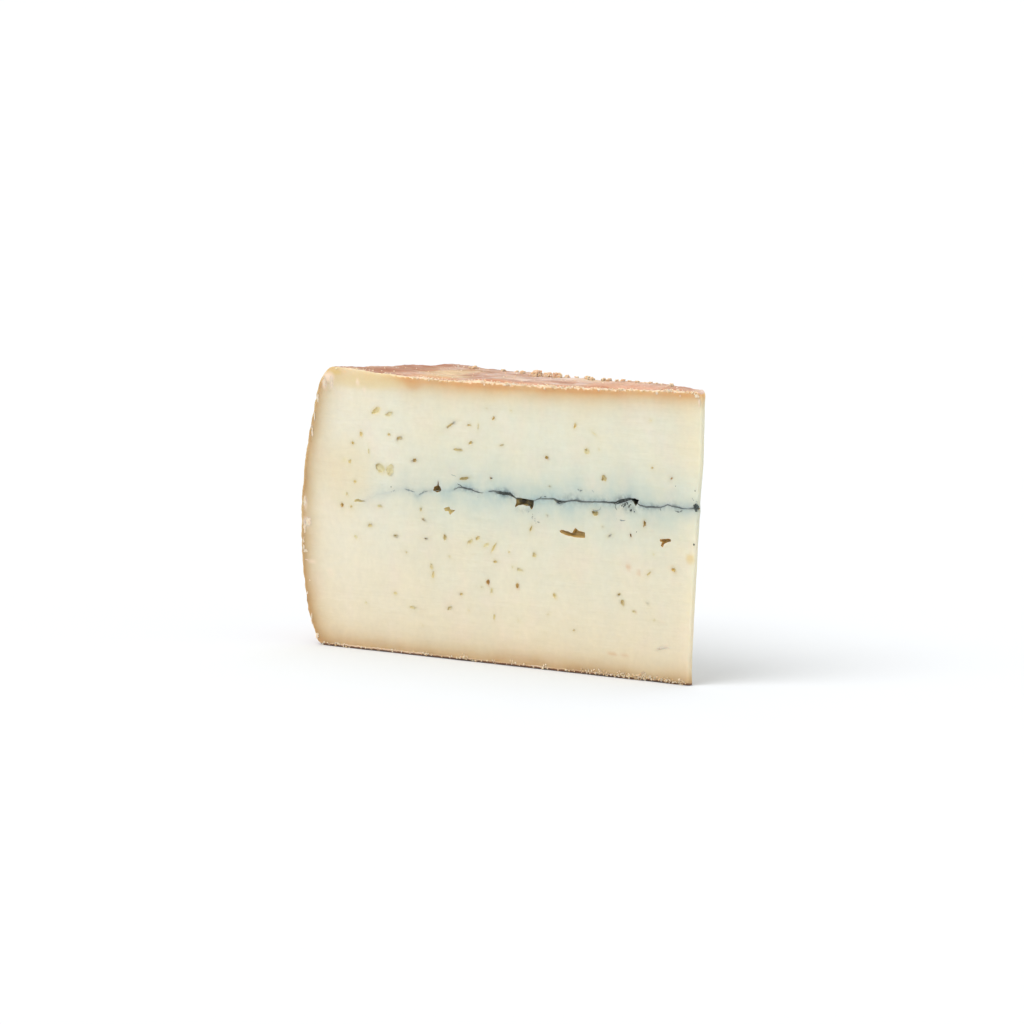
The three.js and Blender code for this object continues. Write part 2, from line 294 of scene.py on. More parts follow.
def made_plain(piece):
    """Puts what the piece's modifiers make into its own mesh and removes them."""
    seen = piece.evaluated_get(bpy.context.evaluated_depsgraph_get())
    mesh = bpy.data.meshes.new_from_object(seen)
    piece.modifiers.clear()
    old = piece.data
    piece.data = mesh
    mesh.name = piece.name
    bpy.data.meshes.remove(old)


def cut_away(piece, cutter):
    modifier = piece.modifiers.new("opening", "BOOLEAN")
    modifier.operation = "DIFFERENCE"
    modifier.solver = "MANIFOLD"
    modifier.object = cutter
    made_plain(piece)
    mesh = cutter.data
    bpy.data.objects.remove(cutter)
    bpy.data.meshes.remove(mesh)


def smooth_but_sharp(mesh, degrees):
    mesh.polygons.foreach_set("use_smooth", np.ones(len(mesh.polygons), bool))
    mesh.set_sharp_from_angle(angle=math.radians(degrees))


def tube_faces(rings, steps):
    """Faces that join rings of points one to the next. Two points more close the ends."""
    faces = []
    for ring, step in itertools.product(range(rings), range(steps)):
        here = ring * steps + step
        after = ring * steps + (step + 1) % steps
        if ring < rings - 1:
            faces.append([here, after, after + steps, here + steps])
        if ring == 0:
            faces.append([rings * steps, after, here])
        if ring == rings - 1:
            faces.append([rings * steps + 1, here, after])
    return faces


def lattice(steps):
    """The surface of a box divided into steps: whole-number points, quads facing out, and each quad's
    side as (axis, 0 or 1)."""
    points, quads, sides = [], [], []
    for axis, side in itertools.product(range(3), (0, 1)):
        u, v = (axis + 1) % 3, (axis + 2) % 3
        across, along = np.meshgrid(np.arange(steps[u] + 1), np.arange(steps[v] + 1), indexing="ij")
        grid = np.empty(across.shape + (3,), int)
        grid[..., axis], grid[..., u], grid[..., v] = side * steps[axis], across, along
        number = np.arange(across.size).reshape(across.shape) + sum(len(p) for p in points)
        ring = [number[:-1, :-1], number[1:, :-1], number[1:, 1:], number[:-1, 1:]]
        quads.append(np.stack(ring if side else ring[::-1], axis=-1).reshape(-1, 4))
        sides += [(axis, side)] * len(quads[-1])
        points.append(grid.reshape(-1, 3))
    points = np.concatenate(points)
    unique, number = np.unique(points, axis=0, return_inverse=True)
    return unique, number.reshape(-1)[np.concatenate(quads)], np.array(sides)


# ---- The body: paste and rind in one ----------------------------------------------------------------
BODY_STEPS = (212, 34, 104)
PASTE, RIND, EYE_WALL = range(3)  # the body's materials


def graded(share, low, low_share, high, high_share, whole):
    """A share of 0 to 1 as a distance from one end, with finer steps near both ends."""
    middle = low + (whole - low - high) * (share - low_share) / (1 - low_share - high_share)
    near = low * share / low_share
    far = whole - high * (1 - share) / high_share
    return np.where(share < low_share, near, np.where(share > 1 - high_share, far, middle))


def knocks_of_tip(up):
    """How far the blunt tip stands in at each height, where it was knocked and crumbs broke off."""
    heights = (0, 6, 14, 23, 34, 40, 45.5, 48, 50.5, 54, 58.5, 62, 68, 76, 81)
    stands = (0.5, 0.1, 0, 0, 0.15, 0.1, 0.2, 0.45, 0.1, 0.25, 0.5, 0.6, 0.3, 0, 0)
    return np.interp(up, heights, stands)


def body_surface(shares):
    """Points of the body for shares of 0 to 1 along it, across it and up."""
    x, y, z = shares.T
    up = graded(z, 6, 0.12, 14, 0.22, HEIGHT)
    turn = graded(y, 0.06, 0.12, 0.06, 0.12, 1)
    length = heel_at(up) - tip_at(up)
    from_heel = graded(x, 12, 0.11, 4, 0.06, length)
    at_heel = x < 0.5
    end = np.where(at_heel, from_heel, length - from_heel)
    end, below = round_corner(end, HEIGHT - up, np.where(at_heel, TOP_ROUND, TIP_ROUND))
    up = HEIGHT - below
    foot_end, foot_up = round_corner(end, up, BOTTOM_ROUND)
    end, up = np.where(at_heel, foot_end, end), np.where(at_heel, foot_up, up)
    # The two upright edges of the blunt tip are rounded too.
    width = (length + APEX_GAP) * 2 * math.tan(HALF_ANGLE)
    width = np.where(at_heel, width, (end + APEX_GAP) * 2 * math.tan(HALF_ANGLE))
    side = np.minimum(turn, 1 - turn) * width
    tip_end, tip_side = round_corner(end, side, TIP_EDGE)
    end, side = np.where(at_heel, end, tip_end), np.where(at_heel, side, tip_side)
    turn = np.where(turn < 0.5, side, width - side) / width
    reach = np.where(at_heel, heel_at(up) - end, tip_at(up) + end)
    from_tip = reach - tip_at(up)
    from_heel = heel_at(up) - reach
    at = place(reach, turn, up)
    flat = at.copy()

    # The upper rind: the solids' wrinkles, with finer ones along the wedge and grit on top.
    wrinkles = noise(flat[:, 0] / 13, flat[:, 1] / 8, 3) + 0.6 * noise(flat[:, 0] / 6, flat[:, 1] / 5, 9)
    folds = 0.16 * np.abs(rough(flat, (14, 1.6, 9), 3)) + 0.09 * rough(flat, (0.9, 0.8, 0.9), 5, 2)
    top = smooth(HEIGHT - 5, HEIGHT, up)
    at[:, 2] += top * (TOP_RELIEF * wrinkles - folds)
    at[:, 2] += (up / HEIGHT) ** LIFT_DEPTH * top_lift(from_tip, turn)
    # The heel's rind: broad lumps and grit.
    lumps = HEEL_RELIEF * noise(flat[:, 1] / 8, flat[:, 2] / 9, 5)
    grit = 0.22 * rough(flat, (2.6, 2.6, 1.8), 7) + 0.12 * rough(flat, 0.9, 8, 2)
    at += direction(turn) * (smooth(5, 0, from_heel) * (lumps + grit - 0.15))[:, None]
    # The cut faces: waves where the knife dragged, and the curd's own fine unevenness.
    waves = CUT_RELIEF * smooth(0, 25, from_tip) * noise(flat[:, 0] / 16, flat[:, 2] / 12, 7)
    curd = 0.05 * rough(flat, (7, 7, 3.2), 11) + 0.025 * rough(flat, 1.4, 13, 2)
    at += FRONT_OUT * (smooth(0.12, 0, turn) * (curd - waves))[:, None]
    at += BACK_OUT * (smooth(0.12, 0, 1 - turn) * (curd + waves))[:, None]
    # The lower rim: a thin lip of rind curls up off the surface that the wedge stands on.
    rim = np.minimum(np.minimum(turn, 1 - turn) * from_tip * 2 * math.tan(HALF_ANGLE), from_heel)
    curl = 0.14 + 0.1 * rough(flat, (6, 6, 6), 17, 2)
    at[:, 2] += smooth(2.6, 0.3, rim) * smooth(3, 0, up) * np.maximum(curl, 0.04)
    lip = 0.2 + 0.2 * rough(flat, (3, 3, 3), 19)
    lip_up = smooth(0, 0.5, up) * smooth(2, 0.8, up)
    at += FRONT_OUT * (smooth(0.04, 0, turn) * lip_up * np.maximum(lip, 0))[:, None]
    # The tip's own edge.
    blunt = smooth(5, 0, from_tip) * (knocks_of_tip(up) + 0.08 * rough(flat, 2.2, 23))
    at -= direction(np.full_like(turn, 0.5)) * blunt[:, None]
    return at


def body_block():
    points, quads, sides = lattice(BODY_STEPS)
    at = body_surface(points / BODY_STEPS)
    is_rind = (sides[:, 0] == 2) | ((sides[:, 0] == 0) & (sides[:, 1] == 0))
    return object_from("cheese_body", at, quads.tolist(), BODY_MATERIALS, np.where(is_rind, RIND, PASTE))


# ---- Eyes and torn openings -------------------------------------------------------------------------
# Eyes of the front cut face as seen: distance from the foot of the tip, height, width, height of the
# opening, slant in degrees (its long side up towards the tip), and tone from 0, pale, to 1, dark brown;
# a dark tone is partly painted shade in the wall.
UPPER_EYES = (
    (122.0, 69.3, 3.3, 1.5, 22, 0.3), (116.7, 68.6, 3.0, 1.4, 10, 0.05), (128.3, 62.2, 1.1, 1.4, 10, 0.45),
    (116.6, 62.7, 1.2, 0.8, 0, 0.3), (112.4, 61.9, 2.5, 1.1, 20, 0.35), (131.6, 59.5, 1.2, 0.9, 0, 0.5),
    (125.0, 57.5, 0.7, 1.5, 0, 0.1), (132.9, 54.1, 1.2, 1.2, 0, 0.3), (106.3, 55.9, 2.4, 1.1, 8, 0.45),
    (120.4, 52.8, 3.8, 2.6, -14, 0.1), (116.2, 52.4, 2.9, 2.7, 10, 0.03), (130.8, 48.4, 1.2, 0.9, 0, 0.35),
    (91.6, 66.8, 3.8, 0.8, 30, 0.3), (84.2, 67.1, 1.5, 0.6, 0, 0.4), (80.7, 66.8, 0.45, 1.5, 0, 0.15),
    (74.5, 69.5, 1.2, 1.0, 30, 0.5), (83.6, 62.1, 1.6, 0.8, 20, 0.35), (88.6, 59.9, 2.8, 0.9, 0, 0.3),
    (71.4, 62.1, 1.6, 0.6, 15, 0.1), (86.0, 51.9, 3.2, 1.0, 8, 0.5), (75.7, 52.6, 0.8, 0.6, -20, 0.7),
    (42.8, 69.0, 0.9, 1.6, -24, 0.35), (38.3, 62.3, 1.9, 1.7, -20, 0.15), (53.6, 59.6, 1.5, 1.1, 0, 0.6),
    (35.5, 67.2, 1.6, 0.4, -30, 0.15), (31.7, 55.1, 1.9, 1.6, 0, 0.4), (13.4, 59.0, 0.9, 0.6, 10, 0.35),
    (6.1, 56.5, 0.8, 0.5, 30, 0.75),
)
LOWER_EYES = (
    (16.3, 43.4, 1.1, 1.7, 0, 0.7), (59.9, 39.3, 0.9, 1.7, -25, 0.4), (136.1, 41.3, 1.3, 1.1, 0, 0.65),
    (132.2, 41.0, 1.1, 0.8, 0, 0.3), (134.1, 44.6, 0.9, 0.9, 0, 0.15), (120.5, 41.9, 1.8, 0.9, 0, 0.15),
    (103.7, 42.0, 1.0, 1.0, 0, 0.2), (102.5, 39.1, 1.8, 0.8, -15, 0.3), (124.5, 36.1, 2.4, 1.0, 5, 0.3),
    (130.4, 32.4, 1.4, 0.8, 0, 0.1), (113.9, 33.8, 2.2, 0.9, 0, 0.25), (101.6, 33.8, 1.1, 0.5, 0, 0.35),
    (93.9, 34.7, 1.5, 1.7, 10, 0.35), (84.0, 34.0, 2.4, 1.2, 25, 0.2), (81.0, 35.2, 1.6, 1.1, 25, 0.3),
    (77.5, 33.5, 2.6, 0.9, 20, 0.1), (74.6, 32.9, 3.2, 0.9, 52, 0.3), (73.9, 29.1, 1.7, 0.8, 0, 0.4),
    (99.4, 25.9, 1.2, 1.8, 20, 0.2), (98.9, 23.5, 1.0, 1.9, -8, 0.3), (76.8, 23.0, 1.2, 1.6, 10, 0.75),
    (75.4, 20.6, 1.0, 1.6, -15, 0.2), (87.5, 18.9, 1.1, 0.6, 0, 0.45), (114.4, 17.2, 1.4, 0.9, 0, 0.3),
    (107.1, 13.6, 2.2, 0.8, 0, 0.25), (126.3, 13.6, 0.8, 0.6, 0, 0.2), (92.1, 14.6, 1.9, 1.1, 20, 0.2),
    (74.4, 13.4, 0.8, 1.6, 0, 0.3), (58.5, 32.0, 1.6, 1.5, 0, 0.25), (64.3, 27.4, 2.4, 0.9, -10, 0.15),
    (65.2, 22.8, 1.3, 1.6, 0, 0.65), (50.7, 21.1, 1.3, 1.3, 0, 0.25), (29.4, 39.3, 1.5, 0.5, 25, 0.35),
    (21.5, 39.9, 0.6, 0.9, 20, 0.9), (5.3, 31.4, 1.7, 1.0, -35, 0.6), (14.6, 29.8, 2.0, 0.6, 38, 0.3),
    (25.8, 23.2, 1.4, 0.7, 20, 0.4), (24.5, 20.9, 1.5, 1.7, 0, 0.35), (20.3, 18.9, 1.1, 0.8, 0, 0.15),
    (43.1, 12.0, 0.9, 0.5, 0, 0.3), (35.0, 45.3, 2.4, 1.4, 0, 0.5),
)
# The largest openings have an outline of their own: points round the middle, in mm towards the tip and
# up. Each has its place, its outline, its depth and its tone.
CRACK = (
    (43.6, 39.0),
    ((-5.2, 0.3), (-4.4, 0.75), (-2.4, 0.55), (-0.4, 0.1), (0.2, 0.9), (0.9, 1.7), (2.4, 0.9), (4.8, 0.6),
     (4.8, -1.0), (0.8, -1.0), (-2.0, -0.8), (-3.6, -0.5), (-4.6, -0.1)),
    1.1, 0.72,
)
TEE = (
    (8.9, 38.9),
    ((-1.7, 0.6), (-0.1, 0.9), (2.5, 1.0), (2.5, 0.3), (1.2, 0.0), (0.1, -0.5), (-0.6, -1.6), (-1.3, -1.2),
     (-0.9, -0.2), (-1.6, 0.0)),
    0.9, 0.76,
)
STEP = (
    (92.2, 42.4),
    ((-2.2, 0.5), (-0.2, 1.2), (0.6, 0.3), (2.4, 0.2), (1.4, -0.4), (0.2, -1.2), (-0.4, -0.3), (-1.8, -0.3)),
    0.6, 0.5,
)
TRAPEZE = (
    (62.6, 46.1),
    ((-3.1, 1.5), (-1.6, 1.7), (1.2, 1.5), (3.9, 1.2), (3.9, -0.1), (3.3, -1.2), (2.8, -1.4), (2.2, -0.5),
     (-0.4, -0.3), (-2.3, -0.6), (-3.4, -1.2), (-3.6, -0.9), (-2.9, 0.2)),
    1.5, 0.7,
)
TRIANGLE = (
    (19.8, 49.4),
    ((-1.8, 0.7), (-0.1, 0.9), (1.4, 0.4), (0.9, -0.4), (0.1, -1.3), (-0.6, -0.4)),
    3.2, 1.0,
)
SPIKE = (
    (97.0, 48.7),
    ((-1.8, -1.0), (-1.4, 0.1), (-0.2, 0.6), (0.3, 2.2), (0.6, 0.6), (1.4, -0.1), (1.5, -0.9), (-0.2, -1.5)),
    1.3, 0.8,
)
END_EYE = (
    (129.2, 43.0),
    ((-2.0, -0.5), (-1.8, 0.1), (-0.3, 0.6), (0.9, 0.2), (2.8, 0.0), (0.5, -0.4)),
    0.6, 0.25,
)
TORN = (CRACK, TEE, STEP)  # clear of the ash
TORN_AT_ASH = (TRAPEZE, TRIANGLE, SPIKE, END_EYE)
EYE_FLOOR = 0.3  # the widest part of an eye lies this share of its depth below the face


def ball(divisions):
    """Points and triangles of a ball of radius 1."""
    made = bmesh.new()
    bmesh.ops.create_icosphere(made, subdivisions=divisions, radius=1)
    points = np.array([v.co for v in made.verts])
    faces = [[v.index for v in f.verts] for f in made.faces]
    made.free()
    return points, faces


def face_frame(reach, up, turn):
    """A point of a cut face, and the ways out of it and along it towards the tip's end of it."""
    out = BACK_OUT if turn else FRONT_OUT
    return place(reach, turn, up), out, np.cross(UPWARD, out)


def eye_cutter(eye, turn, divisions):
    reach, up, wide, tall, slant, tone = eye
    points, faces = ball(divisions)
    middle, out, sideways = face_frame(reach, up, turn)
    seed = reach + 3 * up
    torn = 1 + 0.42 * rough(points * 1.4, 1, seed, 2) + 0.14 * rough(points * 4, 1, seed + 5, 2)
    level, rise, deep = (points * torn[:, None]).T
    depth = (0.24 * min(wide, tall) + 0.1) * (0.45 + 0.9 * tone)  # a dark eye is a deep one
    level, rise = level * wide / 2, rise * tall / 2
    tilt = math.radians(slant)
    along = level * math.cos(tilt) - rise * math.sin(tilt)
    rising = rise * math.cos(tilt) + level * math.sin(tilt)
    at = middle - out * EYE_FLOOR * depth + np.outer(along, sideways) + np.outer(deep * depth, out)
    at[:, 2] += rising
    return at, faces


def torn_cutter(opening, steps=72, rings=9):
    """A ragged hole with the outline given, narrowing as it goes in."""
    (reach, up), outline, depth, _ = opening
    middle, out, sideways = face_frame(reach, up, 0)
    corners = np.array(outline + outline[:1], float)
    run = np.concatenate([[0], np.cumsum(np.hypot(*np.diff(corners, axis=0).T))])
    walk = np.linspace(0, run[-1], steps, endpoint=False)
    edge = np.stack([np.interp(walk, run, corners[:, i]) for i in (0, 1)], axis=-1)
    centre = edge.mean(axis=0)
    points = []
    for below in np.linspace(-0.6, depth, rings):
        shrink = 1 - 0.5 * max(0, below / depth) ** 2
        level = np.full(steps, below)
        flat = centre + (edge - centre) * shrink
        ragged = np.column_stack([flat, level])
        flat = flat + 0.1 * np.column_stack([rough(ragged, 0.8, 31, 2), rough(ragged, 0.8, 37, 2)])
        inner = level * (1 + 0.15 * rough(ragged, 1.5, 41, 2))
        ring = np.outer(flat[:, 0], sideways) + np.outer(flat[:, 1], UPWARD) - np.outer(inner, out)
        points.append(middle + ring)
    caps = np.array([points[0].mean(axis=0), points[-1].mean(axis=0)])
    return np.concatenate([*points, caps]), tube_faces(rings, steps)


def joined(name, parts, materials, material=0):
    """One object from several (points, faces), with outward normals."""
    points = np.concatenate([p for p, _ in parts])
    starts = np.cumsum([0] + [len(p) for p, _ in parts])
    faces = [[i + start for i in face] for start, (_, fs) in zip(starts, parts) for face in fs]
    piece = object_from(name, points, faces, materials, np.full(len(faces), material))
    made = bmesh.new()
    made.from_mesh(piece.data)
    bmesh.ops.recalc_face_normals(made, faces=made.faces)
    made.to_mesh(piece.data)
    made.free()
    return piece


def random_eyes(seed, count, widest, margin=12):
    """Places and sizes of eyes for a face that the photo doesn't show."""
    draw = draws(seed, 97)
    eyes = []
    for _ in range(count):
        wide = between(1.6, widest, draw)
        reach = between(margin, HEEL_REACH - 1.5 * margin, draw)
        up = between(margin, HEIGHT - margin, draw)
        tall = min(wide, between(1.1, 2.2, draw))
        slant = between(-25, 25, draw)
        tone = 0.25 + 0.45 * float(drawn(seed, len(eyes), 5))
        eyes.append((reach, up, wide, tall, slant, tone))
    return eyes


def pinprick_eyes(seed, count, taken, margin=7):
    """Tiny eyes between the others."""
    draw = draws(seed, 61)
    eyes = []
    while len(eyes) < count:
        reach = between(margin, HEEL_REACH - 2 * margin, draw)
        up = between(margin, HEIGHT - margin, draw)
        wide = between(0.35, 0.8, draw)
        tall = wide * between(0.5, 1, draw)
        slant = between(-40, 40, draw)
        eye = (reach, up, wide, tall, slant, between(0.05, 0.3, draw))
        if far_from(eye, taken + eyes):
            eyes.append(eye)
    return eyes


def far_from(eye, others):
    """Whether an eye keeps clear of the ash and of the other eyes."""
    reach, up, *size = eye[:4]
    near_ash = abs(up - float(ash_middle(reach, 0))) < 1.6 + size[1]
    return not near_ash and all(
        math.hypot(reach - o[0], up - o[1]) > (max(size) + max(o[2:4])) * 0.7 + 0.3 for o in others
    )


def spread_out(eyes):
    """Those of the eyes that are clear of the ones before them and of the ash."""
    kept = []
    for eye in eyes:
        if far_from(eye, kept):
            kept.append(eye)
    return kept


TORN_PLACES = [(*middle, 6, 3, 0, tone) for middle, _, _, tone in TORN + TORN_AT_ASH]
FRONT_EYES = list(UPPER_EYES + LOWER_EYES)
FRONT_PINPRICKS = pinprick_eyes(71, 20, FRONT_EYES + TORN_PLACES)
BACK_EYES = spread_out(random_eyes(43, 6, 5.5) + random_eyes(41, 14, 2.6) + random_eyes(47, 60, 2.2, 8))
BACK_PINPRICKS = pinprick_eyes(73, 60, BACK_EYES)


# ---- The ash layer ----------------------------------------------------------------------------------
ASH_STEPS = (300, 26, 1)


def ash_sheet(extra, past_tip, past_face, recess=0.0):
    """Points and quads of a sheet along the ash. extra is added to each side of its thickness. It may
    run past the tip and past the cut faces, or stay back from them by recess."""
    points, quads, _ = lattice(ASH_STEPS)
    x, y, z = (points / ASH_STEPS).T
    tip = tip_at(ASH_HEIGHT) - past_tip + recess
    reach = ASH_REACH + extra + (tip - ASH_REACH - extra) * x
    half = np.maximum((reach - tip_at(ASH_HEIGHT) + APEX_GAP) * math.tan(HALF_ANGLE), 0.2)
    set_back = 0.5 * recess / half * (1 + 0.8 * noise(reach / 1.7, 0, 3))
    start = -past_face + set_back
    # Where paste has closed over the front edge of the layer, it starts below the face.
    closed = np.maximum(smooth(88.4, 90.4, reach), smooth(75.2, 76.6, reach) * smooth(80.2, 78.8, reach))
    start = start + ((0.5 + recess) / (2 * half) - start) * closed
    turn = start + (1 + past_face - set_back - start) * y
    thick = along_ash(ASH_THICKNESS, reach) * (1 + 0.35 * noise(reach / 2.1, turn * 4, 6)) + 2 * extra
    at = place(reach, turn, np.full_like(reach, ASH_HEIGHT))
    at[:, 2] = ash_middle(reach, turn) + (z - 0.5) * np.maximum(thick, 0.03)
    return at, quads.tolist()


def speck(reach, up, radius, seed):
    """A grain of ash pressed into the front face."""
    points, faces = ball(2)
    middle, out, sideways = face_frame(reach, up, 0)
    lumpy = points * (1 + 0.4 * rough(points * 1.3, 1, seed, 2))[:, None]
    level, rise, deep = (lumpy * radius).T
    lift = np.outer(0.5 * deep - 0.1 * radius, out)
    return middle + np.outer(level, sideways) + np.outer(rise, UPWARD) + lift, faces


def specks(seed):
    scattered = list(ASH_SPOTS)
    draw = draws(seed, 83)
    for reach, up, half_wide, half_tall, count, largest in ASH_CLUSTERS:
        for _ in range(count):
            angle = between(0, math.tau, draw)
            far = math.sqrt(next(draw))
            along = half_wide * far * math.cos(angle)
            rise = half_tall * far * math.sin(angle)
            scattered.append((reach + along, up + rise, largest * between(0.45, 1, draw)))
    return [speck(*spot, seed + number) for number, spot in enumerate(scattered)]


def wisp(route, radius, seed, rings=36, sides=6):
    """A hair of ash dragged across the front face by the knife: a thin uneven thread that lies in it."""
    route = np.array(route, float)
    run = np.concatenate([[0], np.cumsum(np.hypot(*np.diff(route, axis=0).T))])
    share = np.linspace(0, 1, rings)
    reach, up = (np.interp(share * run[-1], run, route[:, i]) for i in (0, 1))
    up = up + 0.1 * noise(reach / 0.9, up, seed + 7)
    thick = radius * np.sin(math.pi * (0.06 + 0.88 * share)) * (1 + 0.7 * noise(share * 11, seed, 2))
    _, out, sideways = face_frame(0, 0, 0)
    bend = np.gradient(np.column_stack([-reach, up]), axis=0)
    bend /= np.hypot(*bend.T)[:, None]
    across = np.outer(-bend[:, 1], sideways) + np.outer(bend[:, 0], UPWARD)
    angle = np.linspace(0, math.tau, sides, endpoint=False)
    ring = np.outer(thick, np.cos(angle))[..., None] * across[:, None, :]
    ring = ring + np.outer(thick, 0.4 * np.sin(angle))[..., None] * out
    middle = place(reach, 0, up) - 0.03 * out
    points = (middle[:, None, :] + ring).reshape(-1, 3)
    return np.concatenate([points, middle[:1], middle[-1:]]), tube_faces(rings, sides)


# Grains of ash: distance from the foot of the tip, height and radius. And clusters of them: middle, half
# width, half height, count and largest radius.
ASH_SPOTS = (
    (4.6, 54.5, 0.16), (21.4, 46.9, 0.36), (20.2, 46.5, 0.2), (26.8, 44.2, 0.14), (60.7, 44.0, 0.15),
    (57.0, 44.1, 0.15), (-2.2, 38.9, 0.26), (-2.6, 53.6, 0.25), (19.3, 41.0, 0.15), (115.9, 47.7, 0.18),
    (75.2, 52.6, 0.25), (47.0, 45.9, 0.12), (80.8, 46.9, 0.15),
)
ASH_CLUSTERS = (
    (-3.0, 49.1, 0.9, 1.0, 34, 0.34),
    (23.8, 48.3, 2.6, 0.8, 22, 0.22),
    (70.9, 48.6, 3.0, 0.4, 14, 0.26),
    (60.2, 46.2, 0.8, 1.3, 8, 0.2),
    (57.5, 43.0, 2.2, 2.2, 7, 0.13),
)
# Hairs of ash: their route, as distance from the foot of the tip and height, their half width, and how
# pale each is.
WISPS = (
    (((116.7, 46.2), (115.5, 46.3), (114.3, 46.9)), 0.14, 0.7),
    (((110.6, 47.5), (108.6, 47.2), (106.1, 46.8)), 0.2, 0.6),
    (((105.7, 44.6), (105.1, 45.6), (104.1, 46.4), (102.5, 47.1), (100.8, 47.4)), 0.16, 0.6),
    (((92.4, 53.1), (90.6, 52.5), (88.6, 52.0)), 0.1, 0.8),
    (((94.0, 53.5), (92.6, 54.8), (90.8, 56.0)), 0.14, 0.95),
    (((58.5, 47.8), (56.0, 48.3), (53.2, 48.9), (51.0, 48.9), (49.3, 48.3)), 0.2, 0.35),
    (((42.4, 52.0), (41.3, 51.3), (40.5, 51.0), (39.6, 51.6)), 0.22, 0.6),
    (((36.6, 51.8), (35.9, 51.2), (35.1, 50.8)), 0.12, 0.8),
    (((26.7, 44.1), (25.0, 43.8), (23.3, 44.0)), 0.16, 0.6),
    (((10.6, 48.2), (10.3, 47.7), (10.1, 47.2)), 0.16, 0.4),
    (((4.9, 47.7), (3.4, 47.5), (1.9, 48.1)), 0.18, 0.4),
    (((-0.8, 52.6), (-2.0, 51.0), (-3.8, 50.6)), 0.12, 0.7),
    (((36.6, 47.1), (35.6, 46.0), (34.7, 45.8), (33.2, 46.3), (32.8, 47.2)), 0.18, 0.6),
    (((60.0, 42.6), (58.4, 41.6), (56.0, 41.2)), 0.14, 0.8),
    (((80.9, 58.2), (80.7, 56.8), (80.9, 55.5)), 0.12, 0.95),
    (((49.2, 47.4), (47.9, 47.0), (46.8, 47.6)), 0.2, 0.3),
    (((67.2, 49.4), (68.4, 48.9), (70.0, 48.7)), 0.18, 0.2),
    (((26.0, 48.9), (27.2, 48.2), (27.4, 47.2), (26.6, 46.5)), 0.16, 0.4),
    (((89.6, 50.3), (87.2, 49.6), (84.5, 49.0), (81.0, 48.3), (79.2, 47.8)), 0.24, 0.15),
)


# Soft stains in the front face: middle, width, height and strength. Orange where the rind's colour has
# run into the paste, gold where whey has.
ORANGE_STAINS = (
    (106.5, 77.9, 8.0, 4.6, 0.45), (22.3, 31.1, 2.4, 2.0, 0.45), (18.3, 29.7, 1.9, 1.7, 0.35),
    (19.4, 18.8, 1.3, 1.0, 0.35), (28.5, 6.5, 4.0, 1.3, 0.4), (23.6, 6.3, 3.6, 1.2, 0.28),
    (87.6, 18.9, 1.2, 0.9, 0.35), (65.0, 22.8, 1.4, 1.8, 0.4), (76.8, 22.8, 1.6, 2.0, 0.3),
    (40.0, 79.5, 30.0, 2.4, 0.25),
)
GOLD_STAINS = (
    (-0.8, 34.9, 3.6, 3.2, 0.7), (139.0, 79.6, 7.0, 2.4, 0.8), (126.0, 77.6, 36.0, 5.4, 0.5),
    (5.3, 31.4, 2.6, 2.0, 0.35), (8.9, 38.9, 5.6, 4.2, 0.12), (50.5, 21.0, 1.8, 1.8, 0.5),
    (118.5, 52.4, 8.0, 4.0, 0.3), (134.0, 50.0, 26.0, 26.0, 0.26), (-1.0, 68.0, 14.0, 22.0, 0.1),
    (128.3, 62.2, 2.0, 2.4, 0.3), (131.6, 59.5, 2.2, 1.8, 0.3), (122.0, 69.3, 4.6, 2.6, 0.3),
    (43.0, 39.0, 11.0, 3.6, 0.1),
)
# Pale where flakes of the paste's own edge lie on it.
PALE_STAINS = (
    (141.6, 78.2, 5.2, 3.4, 0.85), (143.4, 76.2, 2.2, 3.4, 0.8), (140.4, 76.8, 1.8, 4.4, 0.75),
    (129.6, 77.2, 1.4, 2.6, 0.7), (126.8, 75.2, 1.6, 1.6, 0.6), (151.0, 35.4, 3.2, 3.4, 0.8),
    (151.4, 41.0, 1.6, 4.6, 0.6), (148.6, 24.4, 5.0, 1.0, 0.7), (141.0, 21.5, 3.2, 3.0, 0.3),
)
# Tints of the upper rind: distance from the tip, tenths of the way back, length, width in tenths, strength.
RIND_TAN = ((101.0, 2.0, 18.0, 5.0, 0.75), (113.0, 5.5, 16.0, 6.0, 0.65), (52.0, 8.5, 20.0, 2.5, 0.4))
RIND_ORANGE = ((24.0, 3.0, 44.0, 9.0, 0.55), (72.0, 0.8, 16.0, 2.0, 0.5))
RIND_BROWN = ((124.0, 2.5, 26.0, 6.0, 0.7), (136.0, 6.0, 26.0, 8.0, 0.5), (30.0, 1.5, 46.0, 2.4, 0.5))


# ---- Crust: grains, crumbs and flakes of rind ---------------------------------------------------------
# Crags along the upper rind's back edge: distance from the tip, share of the way back, and radius. The
# first three stand together.
CRAGS = (
    (84.9, 0.88, 1.3), (79.6, 0.9, 1.05), (73.0, 0.88, 1.25), (82.2, 0.93, 0.42), (76.4, 0.93, 0.45),
    (93.6, 0.9, 0.8), (121.5, 0.9, 0.75), (142.2, 0.9, 0.5), (69.6, 0.93, 0.7), (64.5, 0.93, 0.5),
    (58.2, 0.92, 0.75), (55.4, 0.9, 0.6), (49.4, 0.93, 0.62), (46.0, 0.92, 0.55), (42.4, 0.93, 0.4),
    (38.8, 0.92, 0.58), (35.2, 0.92, 0.48), (31.0, 0.92, 0.55), (27.4, 0.93, 0.4), (24.2, 0.92, 0.55),
    (20.6, 0.92, 0.5), (12.5, 0.9, 0.5), (99.5, 0.95, 0.5), (107.5, 0.95, 0.5),
)


